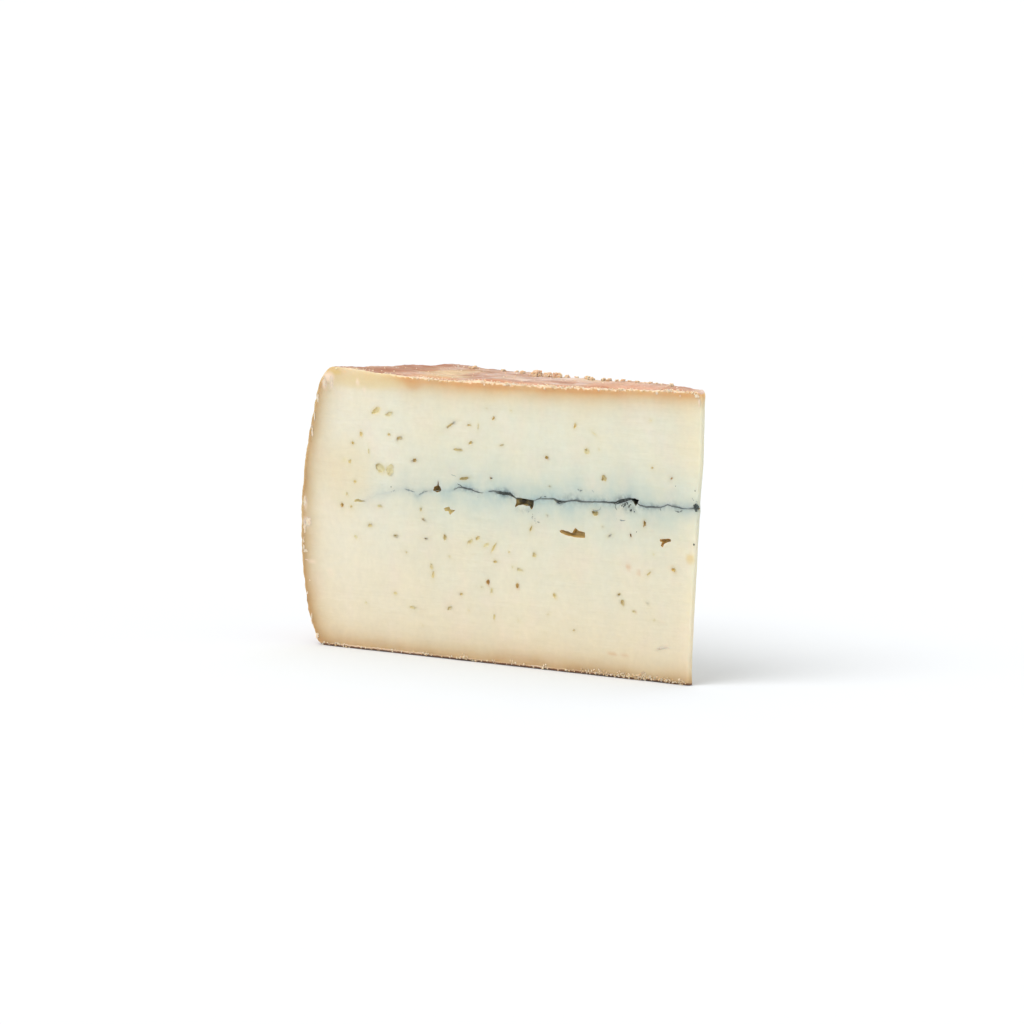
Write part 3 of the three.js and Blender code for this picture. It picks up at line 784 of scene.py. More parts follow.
def lump(reach, turn, radius, seed, divisions=3):
    """A lump of dry crust that sits on the upper rind."""
    points, faces = ball(divisions)
    craggy = 1 + 0.34 * rough(points * 1.3, 1, seed, 2) + 0.16 * rough(points * 4, 1, seed + 9, 2)
    blocky = points / np.abs(points).max(axis=1)[:, None] ** 0.55
    shape = blocky * np.maximum(craggy, 0.45)[:, None]
    # It broke off flat on top, and its root goes down into the rind.
    shape[:, 2] = np.minimum(shape[:, 2], 1.15 + 0.2 * rough(points * 2.2, 1, seed + 4, 2))
    shape[:, 2] = np.where(shape[:, 2] < 0, 1.6, 1) * shape[:, 2]
    around = np.array([[math.cos(seed), math.sin(seed), 0], [-math.sin(seed), math.cos(seed), 0], [0, 0, 1]])
    past = max(0, reach - (float(heel_at(HEIGHT)) - TOP_ROUND))
    level = HEIGHT + float(top_lift(reach, turn)) - TOP_ROUND + math.sqrt(TOP_ROUND**2 - past**2)
    return place(reach, turn, level) + shape @ around * radius, faces


def crag(reach, turn, radius, seed):
    """A crag: one lump with smaller ones broken off round it."""
    draw = draws(seed, 31)
    parts = [lump(reach, turn, radius, seed, 4)]
    for number in range(5):
        away = radius * between(0.6, 1.4, draw) * (1 if number % 2 else -1)
        aside = between(-0.03, 0.03, draw)
        small = radius * between(0.25, 0.55, draw)
        parts.append(lump(reach + away, min(turn + aside, 0.97), small, seed + 3 * number))
    return parts


def flake(middle, out, sideways, wide, tall, thick, seed, steps=40, rings=6):
    """A thin ragged flake lying on a surface, its bumpy top thinning out to its rim."""
    upward = np.cross(out, sideways)
    angle = np.linspace(0, math.tau, steps, endpoint=False)
    rim = 1 + 0.4 * noise(1.3 * np.cos(angle) + seed, 1.3 * np.sin(angle), 3)
    rim += 0.3 * noise(4 * np.cos(angle) + seed, 4 * np.sin(angle), 7)
    points = []
    for side, ring in itertools.product((1, -1), np.linspace(1, 0.15, rings)):
        level = rim * ring * np.cos(angle) * wide / 2
        rise = rim * ring * np.sin(angle) * tall / 2
        bumps = 0.5 + 0.5 * rough(np.column_stack([level, rise, 0 * level]), 0.7, seed, 2)
        height = thick * (0.1 + 0.9 * bumps) * (1 - ring**4) if side > 0 else np.full(steps, -0.25)
        flat = middle + np.outer(level, sideways) + np.outer(rise, upward)
        points.append(flat + np.outer(height, out))
    order = points[:rings][::-1] + points[rings:]
    caps = np.array([order[0].mean(axis=0), order[-1].mean(axis=0)])
    return np.concatenate([*order, caps]), tube_faces(2 * rings, steps)


# Flakes of pale rind on the front cut face: distance from the tip, height, width, height, thickness.
FACE_FLAKES = (
    (143.2, 76.6, 1.0, 2.4, 0.04), (140.6, 77.0, 0.9, 2.8, 0.04), (-4.0, 77.6, 0.8, 2.4, 0.1),
    (-3.2, 79.6, 1.6, 1.0, 0.2), (11.7, 79.8, 0.9, 0.9, 0.2), (3.0, 79.3, 0.6, 0.9, 0.12),
)
# And along its edge at the heel: distance in from the heel, height, width, height, thickness.
HEEL_FLAKES = (
    (1.0, 71.5, 0.6, 3.4, 0.12), (1.0, 66.2, 0.5, 2.8, 0.12), (1.1, 62.0, 0.7, 4.2, 0.12),
    (1.2, 41.0, 1.1, 4.4, 0.15), (2.6, 35.8, 2.2, 2.8, 0.12), (1.4, 34.0, 1.0, 4.4, 0.15),
    (1.2, 29.0, 0.8, 3.8, 0.15), (2.0, 26.8, 2.0, 1.2, 0.12), (3.0, 24.4, 4.0, 0.5, 0.12),
    (1.1, 20.6, 1.0, 1.4, 0.2), (2.4, 20.2, 0.9, 1.0, 0.2), (3.4, 21.2, 0.8, 1.6, 0.2),
    (2.6, 18.6, 1.0, 0.8, 0.2), (0.7, 14.0, 0.6, 3.4, 0.15), (0.7, 8.0, 0.6, 3.2, 0.15),
    (1.0, 2.6, 1.4, 1.6, 0.2),
)
# Where the beads at the foot of the front face stand up in a peak: distance from the foot of the tip.
FOOT_PEAKS = (101.5, 85.9, 67.3, 54.4, 16.2)
# Slivers of paste that the knife pushed up: their route and half width.
SLIVERS = (
    (((12.8, 8.7), (10.4, 9.4), (8.2, 9.9), (6.6, 9.6)), 0.24),
    (((142.5, 24.6), (139.8, 24.9), (137.6, 24.2)), 0.2),
)


def flakes():
    parts = []
    from_heel = [(float(heel_at(up)) - inward, up, *rest) for inward, up, *rest in HEEL_FLAKES]
    for number, (reach, up, wide, tall, thick) in enumerate(FACE_FLAKES + tuple(from_heel)):
        middle, out, sideways = face_frame(reach, up, 0)
        parts.append(flake(middle, out, sideways, wide, tall, thick, number + 1))
    return parts + [wisp(route, radius, number) for number, (route, radius) in enumerate(SLIVERS)]


def grain_tree():
    """Geometry nodes that lay small lumpy grains on a surface, as many as its density attribute asks."""
    tree = bpy.data.node_groups.new("crust_grains", "GeometryNodeTree")
    for name, kind in (
        ("Surface", "Geometry"), ("Smallest", "Float"), ("Largest", "Float"), ("Seed", "Int"),
        ("Material", "Material"),
    ):
        tree.interface.new_socket(name, in_out="INPUT", socket_type="NodeSocket" + kind)
    tree.interface.new_socket("Grains", in_out="OUTPUT", socket_type="NodeSocketGeometry")
    given = add(tree, "NodeGroupInput").outputs
    density = add(tree, "GeometryNodeInputNamedAttribute", {"Name": "density"}, data_type="FLOAT")
    spread = {"Mesh": given["Surface"], "Density": density, "Seed": given["Seed"]}
    spots = add(tree, "GeometryNodeDistributePointsOnFaces", spread)

    # Five kinds of grain, each a ball with its own lumps.
    kinds = add(tree, "GeometryNodeJoinGeometry")
    now = add(tree, "GeometryNodeInputPosition")
    for kind in range(5):
        plain = add(tree, "GeometryNodeMeshIcoSphere", {"Radius": 1.0, "Subdivisions": 2})
        field = {"Vector": now, "W": 3.7 * kind, "Scale": 1.1, "Detail": 1.0}
        bumps = add(tree, "ShaderNodeTexNoise", field, noise_dimensions="4D").outputs["Color"]
        centred = add(tree, "ShaderNodeVectorMath", {0: bumps, 1: (0.5,) * 3}, operation="SUBTRACT")
        push = add(tree, "ShaderNodeVectorMath", {0: centred, "Scale": 2.2}, operation="SCALE")
        moved = add(tree, "GeometryNodeSetPosition", {"Geometry": plain, "Offset": push})
        whole = add(tree, "GeometryNodeGeometryToInstance", {"Geometry": moved})
        tree.links.new(whole.outputs[0], kinds.inputs[0])

    first_input = {"FLOAT_VECTOR": 0, "FLOAT": 2, "INT": 4}
    random = {}
    for seed, (name, kind, least, most) in enumerate((
        ("size", "FLOAT", given["Smallest"], given["Largest"]),
        ("stretch", "FLOAT_VECTOR", (0.7, 0.7, 0.6), (1.3, 1.2, 1.0)),
        ("turn", "FLOAT_VECTOR", (0.0,) * 3, (math.tau,) * 3),
        ("kind", "INT", 0, 4),
        ("tone", "FLOAT", 0.0, 1.0),
    )):
        at = first_input[kind]
        inputs = {at: least, at + 1: most, "Seed": 11 + seed}
        random[name] = add(tree, "FunctionNodeRandomValue", inputs, data_type=kind)
    scale = {0: random["stretch"], "Scale": random["size"]}
    laid = {
        "Points": spots,
        "Instance": kinds,
        "Pick Instance": True,
        "Instance Index": random["kind"],
        "Rotation": random["turn"],
        "Scale": add(tree, "ShaderNodeVectorMath", scale, operation="SCALE"),
    }
    grains_laid = add(tree, "GeometryNodeInstanceOnPoints", laid)
    toned = {"Geometry": grains_laid, "Name": "tone", "Value": random["tone"]}
    kept = add(tree, "GeometryNodeStoreNamedAttribute", toned, data_type="FLOAT", domain="INSTANCE")
    real = add(tree, "GeometryNodeRealizeInstances", {"Geometry": kept})
    soft = add(tree, "GeometryNodeSetShadeSmooth", {"Geometry": real, "Shade Smooth": True})
    dressed = add(tree, "GeometryNodeSetMaterial", {"Geometry": soft, "Material": given["Material"]})
    add(tree, "NodeGroupOutput", {"Grains": dressed})
    return tree


def grains(name, surface, share, kind, material, seed):
    """Grains on a surface of points and quads. share says for each point how many of the kind lie there."""
    most, smallest, largest = kind
    piece = object_from(name, *surface, [])
    store(piece, "density", most * share / MM**2)
    modifier = piece.modifiers.new("grains", "NODES")
    modifier.node_group = GRAIN_TREE
    wanted = {"Smallest": smallest * MM, "Largest": largest * MM, "Seed": seed, "Material": material}
    for item in GRAIN_TREE.interface.items_tree:
        if item.name in wanted:
            modifier[item.identifier] = wanted[item.name]
    made_plain(piece)
    keep_in_box(piece)
    return piece


# ---- Materials ----------------------------------------------------------------------------------------
def add(tree, kind, inputs=None, **settings):
    """Adds a node with its settings. Each input is a value, a socket to link from, or a node, which stands
    for its first output in use."""
    node = tree.nodes.new(kind)
    for name, value in settings.items():
        setattr(node, name, value)
    for name, value in (inputs or {}).items():
        if isinstance(value, bpy.types.Node):
            value = next(output for output in value.outputs if output.enabled)
        if isinstance(value, bpy.types.NodeSocket):
            tree.links.new(value, node.inputs[name])
        else:
            node.inputs[name].default_value = value
    return node


def colour(code):
    """An sRGB hex value, such as e9e2c8, as linear red, green, blue and alpha."""
    parts = [int(code[i : i + 2], 16) / 255 for i in (0, 2, 4)]
    return (*(p / 12.92 if p <= 0.04045 else ((p + 0.055) / 1.055) ** 2.4 for p in parts), 1)


def lumpy(at, size, roughness):
    """What a noise texture takes for lumps that are size mm across."""
    return {"Vector": at, "Scale": 1000 / size, "Detail": 4.0, "Roughness": roughness}


def new_tree(name):
    material = bpy.data.materials.new(name)
    material.use_nodes = True
    material.node_tree.nodes.clear()
    return material, material.node_tree


def kept_values(tree, name):
    """The three values that the piece keeps at its points under a name."""
    kept = add(tree, "ShaderNodeAttribute", attribute_name=name)
    return add(tree, "ShaderNodeSeparateXYZ", {0: kept.outputs["Vector"]}).outputs


def tinted(tree, base, share, low, high, most, tint):
    """The base with a tint laid over it: none where share is low, and most where it is high."""
    amount = add(tree, "ShaderNodeMapRange", {0: share, 1: low, 2: high, 4: most})
    return add(tree, "ShaderNodeMix", {0: amount, 6: base, 7: colour(tint)}, data_type="RGBA")


def shaded(tree, base, share, low, high, dark, light):
    """The base multiplied by dark where share is low and by light where it is high."""
    factor = add(tree, "ShaderNodeMapRange", {0: share, 1: low, 2: high, 3: dark, 4: light})
    both = {0: 1.0, 6: base, 7: factor}
    return add(tree, "ShaderNodeMix", both, data_type="RGBA", blend_type="MULTIPLY")


def faded(tree, distance, length, *shares):
    """1 at no distance, about a third at length and a ninth at twice that, times the shares."""
    fall = add(tree, "ShaderNodeMath", {0: distance, 1: -1 / length}, operation="MULTIPLY")
    left = add(tree, "ShaderNodeMath", {0: fall}, operation="EXPONENT")
    for share in shares:
        left = add(tree, "ShaderNodeMath", {0: left, 1: share}, operation="MULTIPLY")
    return left


def surface(tree, base, relief, roughness, **uniform):
    """The shader at the end of each material. relief has rows of a pattern, its strength and its depth
    in mm. The uniform values are set on the shader's own sockets."""
    sockets = {name.replace("_", " "): value for name, value in uniform.items()}
    sockets |= {"Base Color": base, "Roughness": roughness}
    for pattern, strength, depth in relief:
        below = {"Normal": sockets["Normal"]} if "Normal" in sockets else {}
        height = {"Strength": strength, "Distance": depth * MM, "Height": pattern}
        sockets["Normal"] = add(tree, "ShaderNodeBump", height | below)
    add(tree, "ShaderNodeOutputMaterial", {"Surface": add(tree, "ShaderNodeBsdfPrincipled", sockets)})


def ivory_paste(name, deep):
    """Cut cheese paste: curd pressed, matured and cut by a knife. Moist and faintly translucent, ivory,
    browner under the rind and stained blue-grey round the ash. deep is for the torn walls of the eyes."""
    material, tree = new_tree(name)
    position = add(tree, "ShaderNodeTexCoord").outputs["Object"]
    place_of = add(tree, "ShaderNodeSeparateXYZ", {0: position}).outputs
    kept = ("rind_depth", "ash_place", "eye", "stains", "marks")
    depth, ash, eye, stain, mark = (kept_values(tree, name) for name in kept)
    upright = add(tree, "ShaderNodeMapping", {"Vector": position, "Scale": (1.0, 1.0, 0.12)})
    slant = {"Vector": position, "Rotation": (0.0, 0.45, 0.0), "Scale": (0.25, 1.0, 2.2)}
    slanted = add(tree, "ShaderNodeMapping", slant)
    seen = {}
    for pattern, at, size, roughness in (
        ("clouds", position, 17, 0.5), ("blush", position, 9, 0.5), ("wander", position, 12, 0.5),
        ("patches", position, 6, 0.5), ("curd", position, 1.8, 0.6), ("dust", position, 1.4, 0.6),
        ("ragged", position, 1.2, 0.5), ("grain", position, 0.7, 0.6), ("bands", upright, 9, 0.5),
        ("drag", slanted, 3.5, 0.5),
    ):
        seen[pattern] = add(tree, "ShaderNodeTexNoise", lumpy(at, size, roughness))

    # The paste itself: clouds of ivory, whiter near the heel, warmer low down, and the finer mottle of curd.
    base = colour("d8d7c4")
    for layer in (
        (seen["clouds"], 0.36, 0.64, 1.0, "dcd6be"),
        (place_of["X"], -0.02, -0.06, 0.55, "e4dcc8"),
        (place_of["Z"], 0.045, 0.01, 0.6, "dfd0b2"),
        (seen["blush"], 0.5, 0.75, 0.4, "e0d1c0"),
    ):
        base = tinted(tree, base, *layer)
    base = shaded(tree, base, seen["curd"], 0.3, 0.7, 0.97, 1.02)
    base = shaded(tree, base, seen["bands"], 0.35, 0.65, 0.985, 1.01)
    base = shaded(tree, base, seen["drag"], 0.35, 0.65, 0.99, 1.01)

    # Brown has soaked in from the rind and thins out with depth: the distance in mm in which it falls to a
    # third, and what is left of red, green and blue at the rind. It is weaker at the top's heel corner.
    amount = add(tree, "ShaderNodeMapRange", {0: seen["wander"], 1: 0.3, 2: 0.7, 3: 0.75, 4: 1.2})
    corner = add(tree, "ShaderNodeMapRange", {0: place_of["X"], 1: -0.034, 2: -0.046, 3: 1.0, 4: 0.3})
    for output, even, length, left, shares in (
        ("X", 1.5, 2.2, (0.74, 0.28, 0.09), (amount, corner)),
        ("Y", 0.0, 3.2, (0.53, 0.34, 0.18), (amount,)),
        ("Z", 0.0, 2.5, (0.55, 0.34, 0.19), (amount,)),
    ):
        # Next to the rind the brown is even.
        deeper = add(tree, "ShaderNodeMath", {0: depth[output], 1: even}, operation="MAXIMUM")
        soak = faded(tree, deeper, length, *shares)
        tint = add(tree, "ShaderNodeVectorMath", {0: left, 1: soak}, operation="POWER")
        both = {0: 1.0, 6: base, 7: tint}
        base = add(tree, "ShaderNodeMix", both, data_type="RGBA", blend_type="MULTIPLY")
    base = tinted(tree, base, stain["X"], 0, 1, 1, "c9955f")
    base = tinted(tree, base, stain["Y"], 0, 1, 1, "d6bd80")
    base = tinted(tree, base, stain["Z"], 0, 1, 1, "ecd7c2")

    # The front's upper edge is pale and crumbly under the rind, and its foot a dark line of rind and painted
    # shadow.
    shift = add(tree, "ShaderNodeMapRange", {0: seen["ragged"], 1: 0.3, 2: 0.7, 3: -0.4, 4: 0.4})
    moved = add(tree, "ShaderNodeMath", {0: depth["X"], 1: shift}, operation="ADD")
    ledge = add(tree, "ShaderNodeMapRange", {0: moved, 1: 0.7, 2: 0.4, 4: 0.9})
    ledge = add(tree, "ShaderNodeMath", {0: ledge, 1: mark["Y"]}, operation="MULTIPLY")
    base = tinted(tree, base, ledge, 0, 1, 1, "f5d8b8")
    less = add(tree, "ShaderNodeMath", {0: shift, 1: 0.3}, operation="MULTIPLY")
    low = add(tree, "ShaderNodeMath", {0: depth["Z"], 1: less}, operation="ADD")
    lip = add(tree, "ShaderNodeMapRange", {0: low, 1: 1.05, 2: 0.85, 4: 0.75})
    lip = add(tree, "ShaderNodeMath", {0: lip, 1: mark["Z"]}, operation="MULTIPLY")
    base = tinted(tree, base, lip, 0, 1, 1, "f0cfb0")
    # Painted shadow: the lowest half mm or so goes dark brown, for the gap under the rind's lip, on dark
    # rind.
    base = tinted(tree, base, low, 0.66, 0.5, 0.95, "6b432d")

    # The ash's wide bloom, its smudge along the line, and hairs of it carried by the knife.
    gap = add(tree, "ShaderNodeMath", {0: ash["X"]}, operation="ABSOLUTE")
    uneven = add(tree, "ShaderNodeMapRange", {0: seen["patches"], 1: 0.3, 2: 0.7, 3: 0.4, 4: 1.0})
    bloom = faded(tree, gap, 5.6, ash["Y"], uneven)
    base = tinted(tree, base, bloom, 0, 1, 1, "9db6b3")
    dusty = add(tree, "ShaderNodeMapRange", {0: seen["dust"], 1: 0.36, 2: 0.62, 3: 0.05, 4: 1.0})
    for rubbed in (faded(tree, gap, 0.8, ash["Z"], dusty), faded(tree, gap, 99, mark["X"], dusty)):
        base = tinted(tree, base, rubbed, 0, 1, 0.9, "647273")

    # Eyes: an ochre ring round each on the face, and walls with painted shade that darkens with depth.
    if deep:
        # The wall's colour runs with the eye's tone from pale ochre to near black, the darkest partly
        # painted shade.
        wall = colour("dbd0a4")
        for low, high, tint in ((0.15, 0.55, "d6bf7e"), (0.55, 0.8, "b48846"), (0.8, 1.0, "43341f")):
            wall = tinted(tree, wall, eye["Y"], low, high, 1, tint)
        wall = tinted(tree, wall, bloom, 0, 0.8, 0.8, "77754e")
        wall = tinted(tree, wall, faded(tree, gap, 2.2, ash["Y"], dusty), 0.1, 0.6, 0.9, "38392b")
        sink = add(tree, "ShaderNodeMapRange", {0: eye["X"], 1: 0.0, 2: 0.15, 3: 0.5, 4: 1.0})
        base = add(tree, "ShaderNodeMix", {0: sink, 6: base, 7: wall}, data_type="RGBA")
        # Painted shade in the pit: deeper than 0.6 mm the wall darkens, to a quarter at 2.6 mm.
        base = shaded(tree, base, eye["X"], 0.6, 2.6, 1.0, 0.25)
    else:
        ring = tinted(tree, colour("cfc594"), eye["Y"], 0, 1, 1, "b29660")
        halo = add(tree, "ShaderNodeMath", {0: eye["Z"], 1: 0.35}, operation="MULTIPLY")
        base = add(tree, "ShaderNodeMix", {0: halo, 6: base, 7: ring}, data_type="RGBA")

    # Fine grain of the curd, and shallow streaks where the knife went through.
    relief = ((seen["drag"], 0.4, 0.3), (seen["grain"], 0.3, 0.12))
    sheen = add(tree, "ShaderNodeMapRange", {0: seen["clouds"], 1: 0.3, 2: 0.7, 3: 0.42, 4: 0.56})
    surface(
        tree, base, relief, sheen, IOR=1.46, Specular_IOR_Level=0.35,
        Subsurface_Weight=0.7, Subsurface_Radius=(1.0, 0.85, 0.65), Subsurface_Scale=0.0035,
    )
    return material


def washed_rind():
    """Rind washed with brine while the cheese matured: matt, faintly tacky, pinkish brown, with orange
    patches, pale yeast along its wrinkles and fine grit."""
    material, tree = new_tree("washed_rind_matt")
    position = add(tree, "ShaderNodeTexCoord").outputs["Object"]
    place_of = add(tree, "ShaderNodeSeparateXYZ", {0: position}).outputs
    kept = ("rind_depth", "marks", "rind_tints")
    depth, mark, tint = (kept_values(tree, name) for name in kept)
    along = add(tree, "ShaderNodeMapping", {"Vector": position, "Scale": (0.2, 1.0, 1.0)})
    seen = {}
    for pattern, at, size, roughness in (
        ("patches", position, 15, 0.5), ("mould", position, 11, 0.6), ("yeast", position, 6, 0.7),
        ("grit", position, 0.8, 0.7), ("streaks", along, 6, 0.6), ("wrinkles", along, 1.6, 0.6),
    ):
        seen[pattern] = add(tree, "ShaderNodeTexNoise", lumpy(at, size, roughness))
    base = colour("cbb0a0")
    for layer in (
        (seen["patches"], 0.42, 0.6, 0.7, "c99a78"),
        (place_of["X"], 0.0, -0.028, 0.95, "a5704f"),
        (seen["mould"], 0.55, 0.7, 0.6, "bdb08c"),
        (seen["streaks"], 0.48, 0.7, 0.75, "e2c9b4"),
        (seen["streaks"], 0.48, 0.34, 0.7, "a3735d"),
        (seen["yeast"], 0.5, 0.7, 0.5, "d9cdc6"),
        (tint["Y"], 0.0, 1.0, 1.0, "a4694a"),
        (tint["X"], 0.0, 1.0, 1.0, "d8bd90"),
        (tint["Z"], 0.0, 1.0, 1.0, "cb8358"),
        (mark["Y"], 0.3, 1.0, 0.5, "c4763f"),
        (depth["Y"], 4.0, 0.5, 0.45, "c09679"),
    ):
        base = tinted(tree, base, *layer)
    base = shaded(tree, base, seen["wrinkles"], 0.35, 0.65, 0.88, 1.1)
    base = shaded(tree, base, seen["grit"], 0.35, 0.65, 0.9, 1.08)
    # Dark brown within about a mm of the floor: the rind's underside, and painted shadow under the curled
    # rim.
    base = tinted(tree, base, depth["Z"], 1.2, 0.3, 0.85, "6a4230")
    relief = ((seen["streaks"], 0.5, 0.7), (seen["wrinkles"], 0.6, 0.4), (seen["grit"], 0.6, 0.3))
    surface(
        tree, base, relief, 0.7, IOR=1.45, Specular_IOR_Level=0.3,
        Subsurface_Weight=0.15, Subsurface_Radius=(1.0, 0.5, 0.3), Subsurface_Scale=0.0012,
    )
    return material


def dry_crust(name, pale, orange, brown):
    """Dry granules and flakes of rind, broken off by the knife: matt and crumbly, cream to orange."""
    material, tree = new_tree(name)
    position = add(tree, "ShaderNodeTexCoord").outputs["Object"]
    tone = add(tree, "ShaderNodeAttribute", attribute_name="tone").outputs["Fac"]
    patches, fine = (add(tree, "ShaderNodeTexNoise", lumpy(position, size, 0.5)) for size in (2.2, 0.5))
    both = add(tree, "ShaderNodeMath", {0: tone, 1: patches}, operation="ADD")
    base = tinted(tree, colour(pale), both, 0.6, 1.35, 1, orange)
    base = tinted(tree, base, fine, 0.45, 0.3, 0.5, brown)
    surface(
        tree, base, ((fine, 0.6, 0.2),), 0.75, IOR=1.45, Specular_IOR_Level=0.25,
        Subsurface_Weight=0.6, Subsurface_Radius=(1.0, 0.7, 0.45), Subsurface_Scale=0.001,
    )
    return material


def vegetable_ash():
    """Fine vegetable ash dusted on the lower curd before the upper one was laid on it: dead matt, black to
    grey, and paler where paste has closed over it."""
    material, tree = new_tree("vegetable_ash_dusted")
    position = add(tree, "ShaderNodeTexCoord").outputs["Object"]
    tone = add(tree, "ShaderNodeAttribute", attribute_name="tone").outputs["Fac"]
    powder = add(tree, "ShaderNodeTexNoise", lumpy(position, 1.2, 0.7))
    base = tinted(tree, colour("191c1b"), powder, 0.42, 0.7, 1, "4c5452")
    base = tinted(tree, base, tone, 0, 1, 1, "b3bdb6")
    surface(tree, base, ((powder, 0.8, 0.2),), 0.9, IOR=1.5, Specular_IOR_Level=0.15)
    return material


def painted_board():
    """The studio's floor: a board painted matt white, so evenly lit that it has no edge or grain."""
    material, tree = new_tree("white_board_painted")
    surface(tree, colour("dfe0e1"), (), 0.9, Specular_IOR_Level=0.0)
    return material


BODY_MATERIALS = (
    ivory_paste("ivory_paste_knife_cut", deep=False),
    washed_rind(),
    ivory_paste("ivory_paste_torn", deep=True),
)
GRAIN_MATERIAL = dry_crust("rind_granules_dry", "f9e0c2", "edc69e", "cd9464")
FOOT_MATERIAL = dry_crust("rind_granules_foot", "efd5b6", "deb88e", "b98a5e")
CRAG_MATERIAL = dry_crust("rind_crags_dry", "e0bf9e", "c8875a", "8c5232")
FLAKE_MATERIAL = dry_crust("rind_flakes_pale", "e9cfb4", "dcba98", "c49a76")
ASH_MATERIAL = vegetable_ash()
GRAIN_TREE = grain_tree()


# ---- Making the pieces --------------------------------------------------------------------------------
HALO_LENGTH = 0.35  # mm in which the ring round an eye fades to a third


def inside_ellipse(eyes, reach, up):
    """For each point, how far outside the nearest eye's rim it lies, in mm, and that eye's tone."""
    nearest, tone = np.full(len(reach), 99.0), np.zeros(len(reach))
    for at, height, wide, tall, slant, dark in eyes:
        tilt = math.radians(slant)
        towards_tip, rise = at - reach, up - height
        level = towards_tip * math.cos(tilt) + rise * math.sin(tilt)
        across = rise * math.cos(tilt) - towards_tip * math.sin(tilt)
        outside = (np.hypot(level * 2 / wide, across * 2 / tall) - 1) * min(wide, tall) / 2
        closer = outside < nearest
        nearest, tone = np.where(closer, outside, nearest), np.where(closer, dark, tone)
    return nearest, tone


def stained(stains, reach, up):
    """How strongly the stains of a table colour each point."""
    share = np.zeros(len(reach))
    for at, height, wide, tall, strength in stains:
        far = np.hypot((reach - at) * 2 / wide, (up - height) * 2 / tall)
        share = np.maximum(share, strength * smooth(1.25, 0.35, far))
    return share


def describe(piece):
    """Keeps, at each point of the body, what its materials read."""
    points = points_of(piece.data)
    reach, turn, up = wedge_coordinates(points)
    # How far the point lies in from the upper rind, the heel's rind and the foot.
    level = HEIGHT + top_lift(reach - tip_at(up), turn)
    store(piece, "rind_depth", level - up, heel_at(up) - reach, up)
    # Its height above the ash, and how strong the ash's bloom and smudge are there.
    stain = [along_ash(ASH_STAIN, reach, column) for column in (1, 2)]
    store(piece, "ash_place", up - ash_middle(reach, turn), *stain)
    # How deep it lies in an eye, that eye's tone, and how strong the ring round it is.
    front_depth = -points @ FRONT_OUT
    back_depth = (tip_at(up) - APEX_GAP) * (FRONT_WAY @ BACK_OUT) - points @ BACK_OUT
    small, _ = inside_ellipse(FRONT_EYES + FRONT_PINPRICKS, reach, up)
    _, front_tone = inside_ellipse(FRONT_EYES + FRONT_PINPRICKS + TORN_PLACES, reach, up)
    behind, back_tone = inside_ellipse(BACK_EYES + BACK_PINPRICKS, reach, up)
    tone = np.where(turn < 0.5, front_tone, back_tone)
    halo = np.exp(-np.maximum(np.where(turn < 0.5, small, behind), 0) / HALO_LENGTH)
    store(piece, "eye", np.maximum(np.minimum(front_depth, back_depth), 0), tone, halo)
    # Stains of the front face, and tints of the upper rind.
    front_only = smooth(0.3, 0.05, turn)
    on_top = smooth(HEIGHT - 4, HEIGHT - 2, up)
    tables = (ORANGE_STAINS, GOLD_STAINS, PALE_STAINS)
    store(piece, "stains", *(front_only * stained(table, reach, up) for table in tables))
    tables = (RIND_TAN, RIND_BROWN, RIND_ORANGE)
    store(piece, "rind_tints", *(on_top * stained(table, reach, 10 * turn) for table in tables))
    # Ash rubbed into the front, its crumbly upper edge and the lip of rind along its foot.
    rubbed = front_only * stained(ASH_RUBBED, reach, up)
    crumbly = front_only * smooth(124, 106, reach)
    broken = 0.35 + 0.65 * smooth(0.0, 0.5, noise(reach / 7, 3, 5))
    store(piece, "marks", rubbed, crumbly, front_only * broken * smooth(24, 34, reach))


def make_body():
    body = body_block()
    small = [eye_cutter(e, 0, 3) for e in FRONT_EYES] + [eye_cutter(e, 0, 1) for e in FRONT_PINPRICKS]
    behind = [eye_cutter(e, 1, 2) for e in BACK_EYES] + [eye_cutter(e, 1, 1) for e in BACK_PINPRICKS]
    cut_away(body, joined("eyes", small + behind, BODY_MATERIALS, EYE_WALL))
    cut_away(body, joined("torn", [torn_cutter(o) for o in TORN], BODY_MATERIALS, EYE_WALL))
    cut_away(body, joined("slot", [ash_sheet(0.03, 3, 0.5)], BODY_MATERIALS, EYE_WALL))
    cut_away(body, joined("torn", [torn_cutter(o) for o in TORN_AT_ASH], BODY_MATERIALS, EYE_WALL))
    describe(body)
    smooth_but_sharp(body.data, 38)
    keep_in_box(body)
    return body


def make_ash():
    seam = joined("ash_seam", [ash_sheet(0, 0, 0, recess=0.1)], [ASH_MATERIAL])
    cut_away(seam, joined("torn", [torn_cutter(o) for o in TORN_AT_ASH], [ASH_MATERIAL]))
    smooth_but_sharp(seam.data, 38)
    reach, _, _ = wedge_coordinates(points_of(seam.data))
    store(seam, "tone", along_ash(ASH_PALENESS, reach))
    spots = joined("ash_specks", specks(5), [ASH_MATERIAL])
    threads = [wisp(route, radius, number) for number, (route, radius, _) in enumerate(WISPS)]
    hairs = joined("ash_wisps", threads, [ASH_MATERIAL])
    store(spots, "tone", np.full(len(spots.data.vertices), 0.1))
    store(hairs, "tone", np.repeat([pale for *_, pale in WISPS], [len(points) for points, _ in threads]))
    for piece in (spots, hairs):
        smooth_but_sharp(piece.data, 60)
        keep_in_box(piece)
    return seam, spots, hairs


# Kinds of grain: how many for each square mm at most, and the smallest and largest radius in mm.
BEADS = (6, 0.12, 0.3)
CRUMBS = (0.6, 0.08, 0.24)
FOOT_BEADS = (5, 0.14, 0.34)


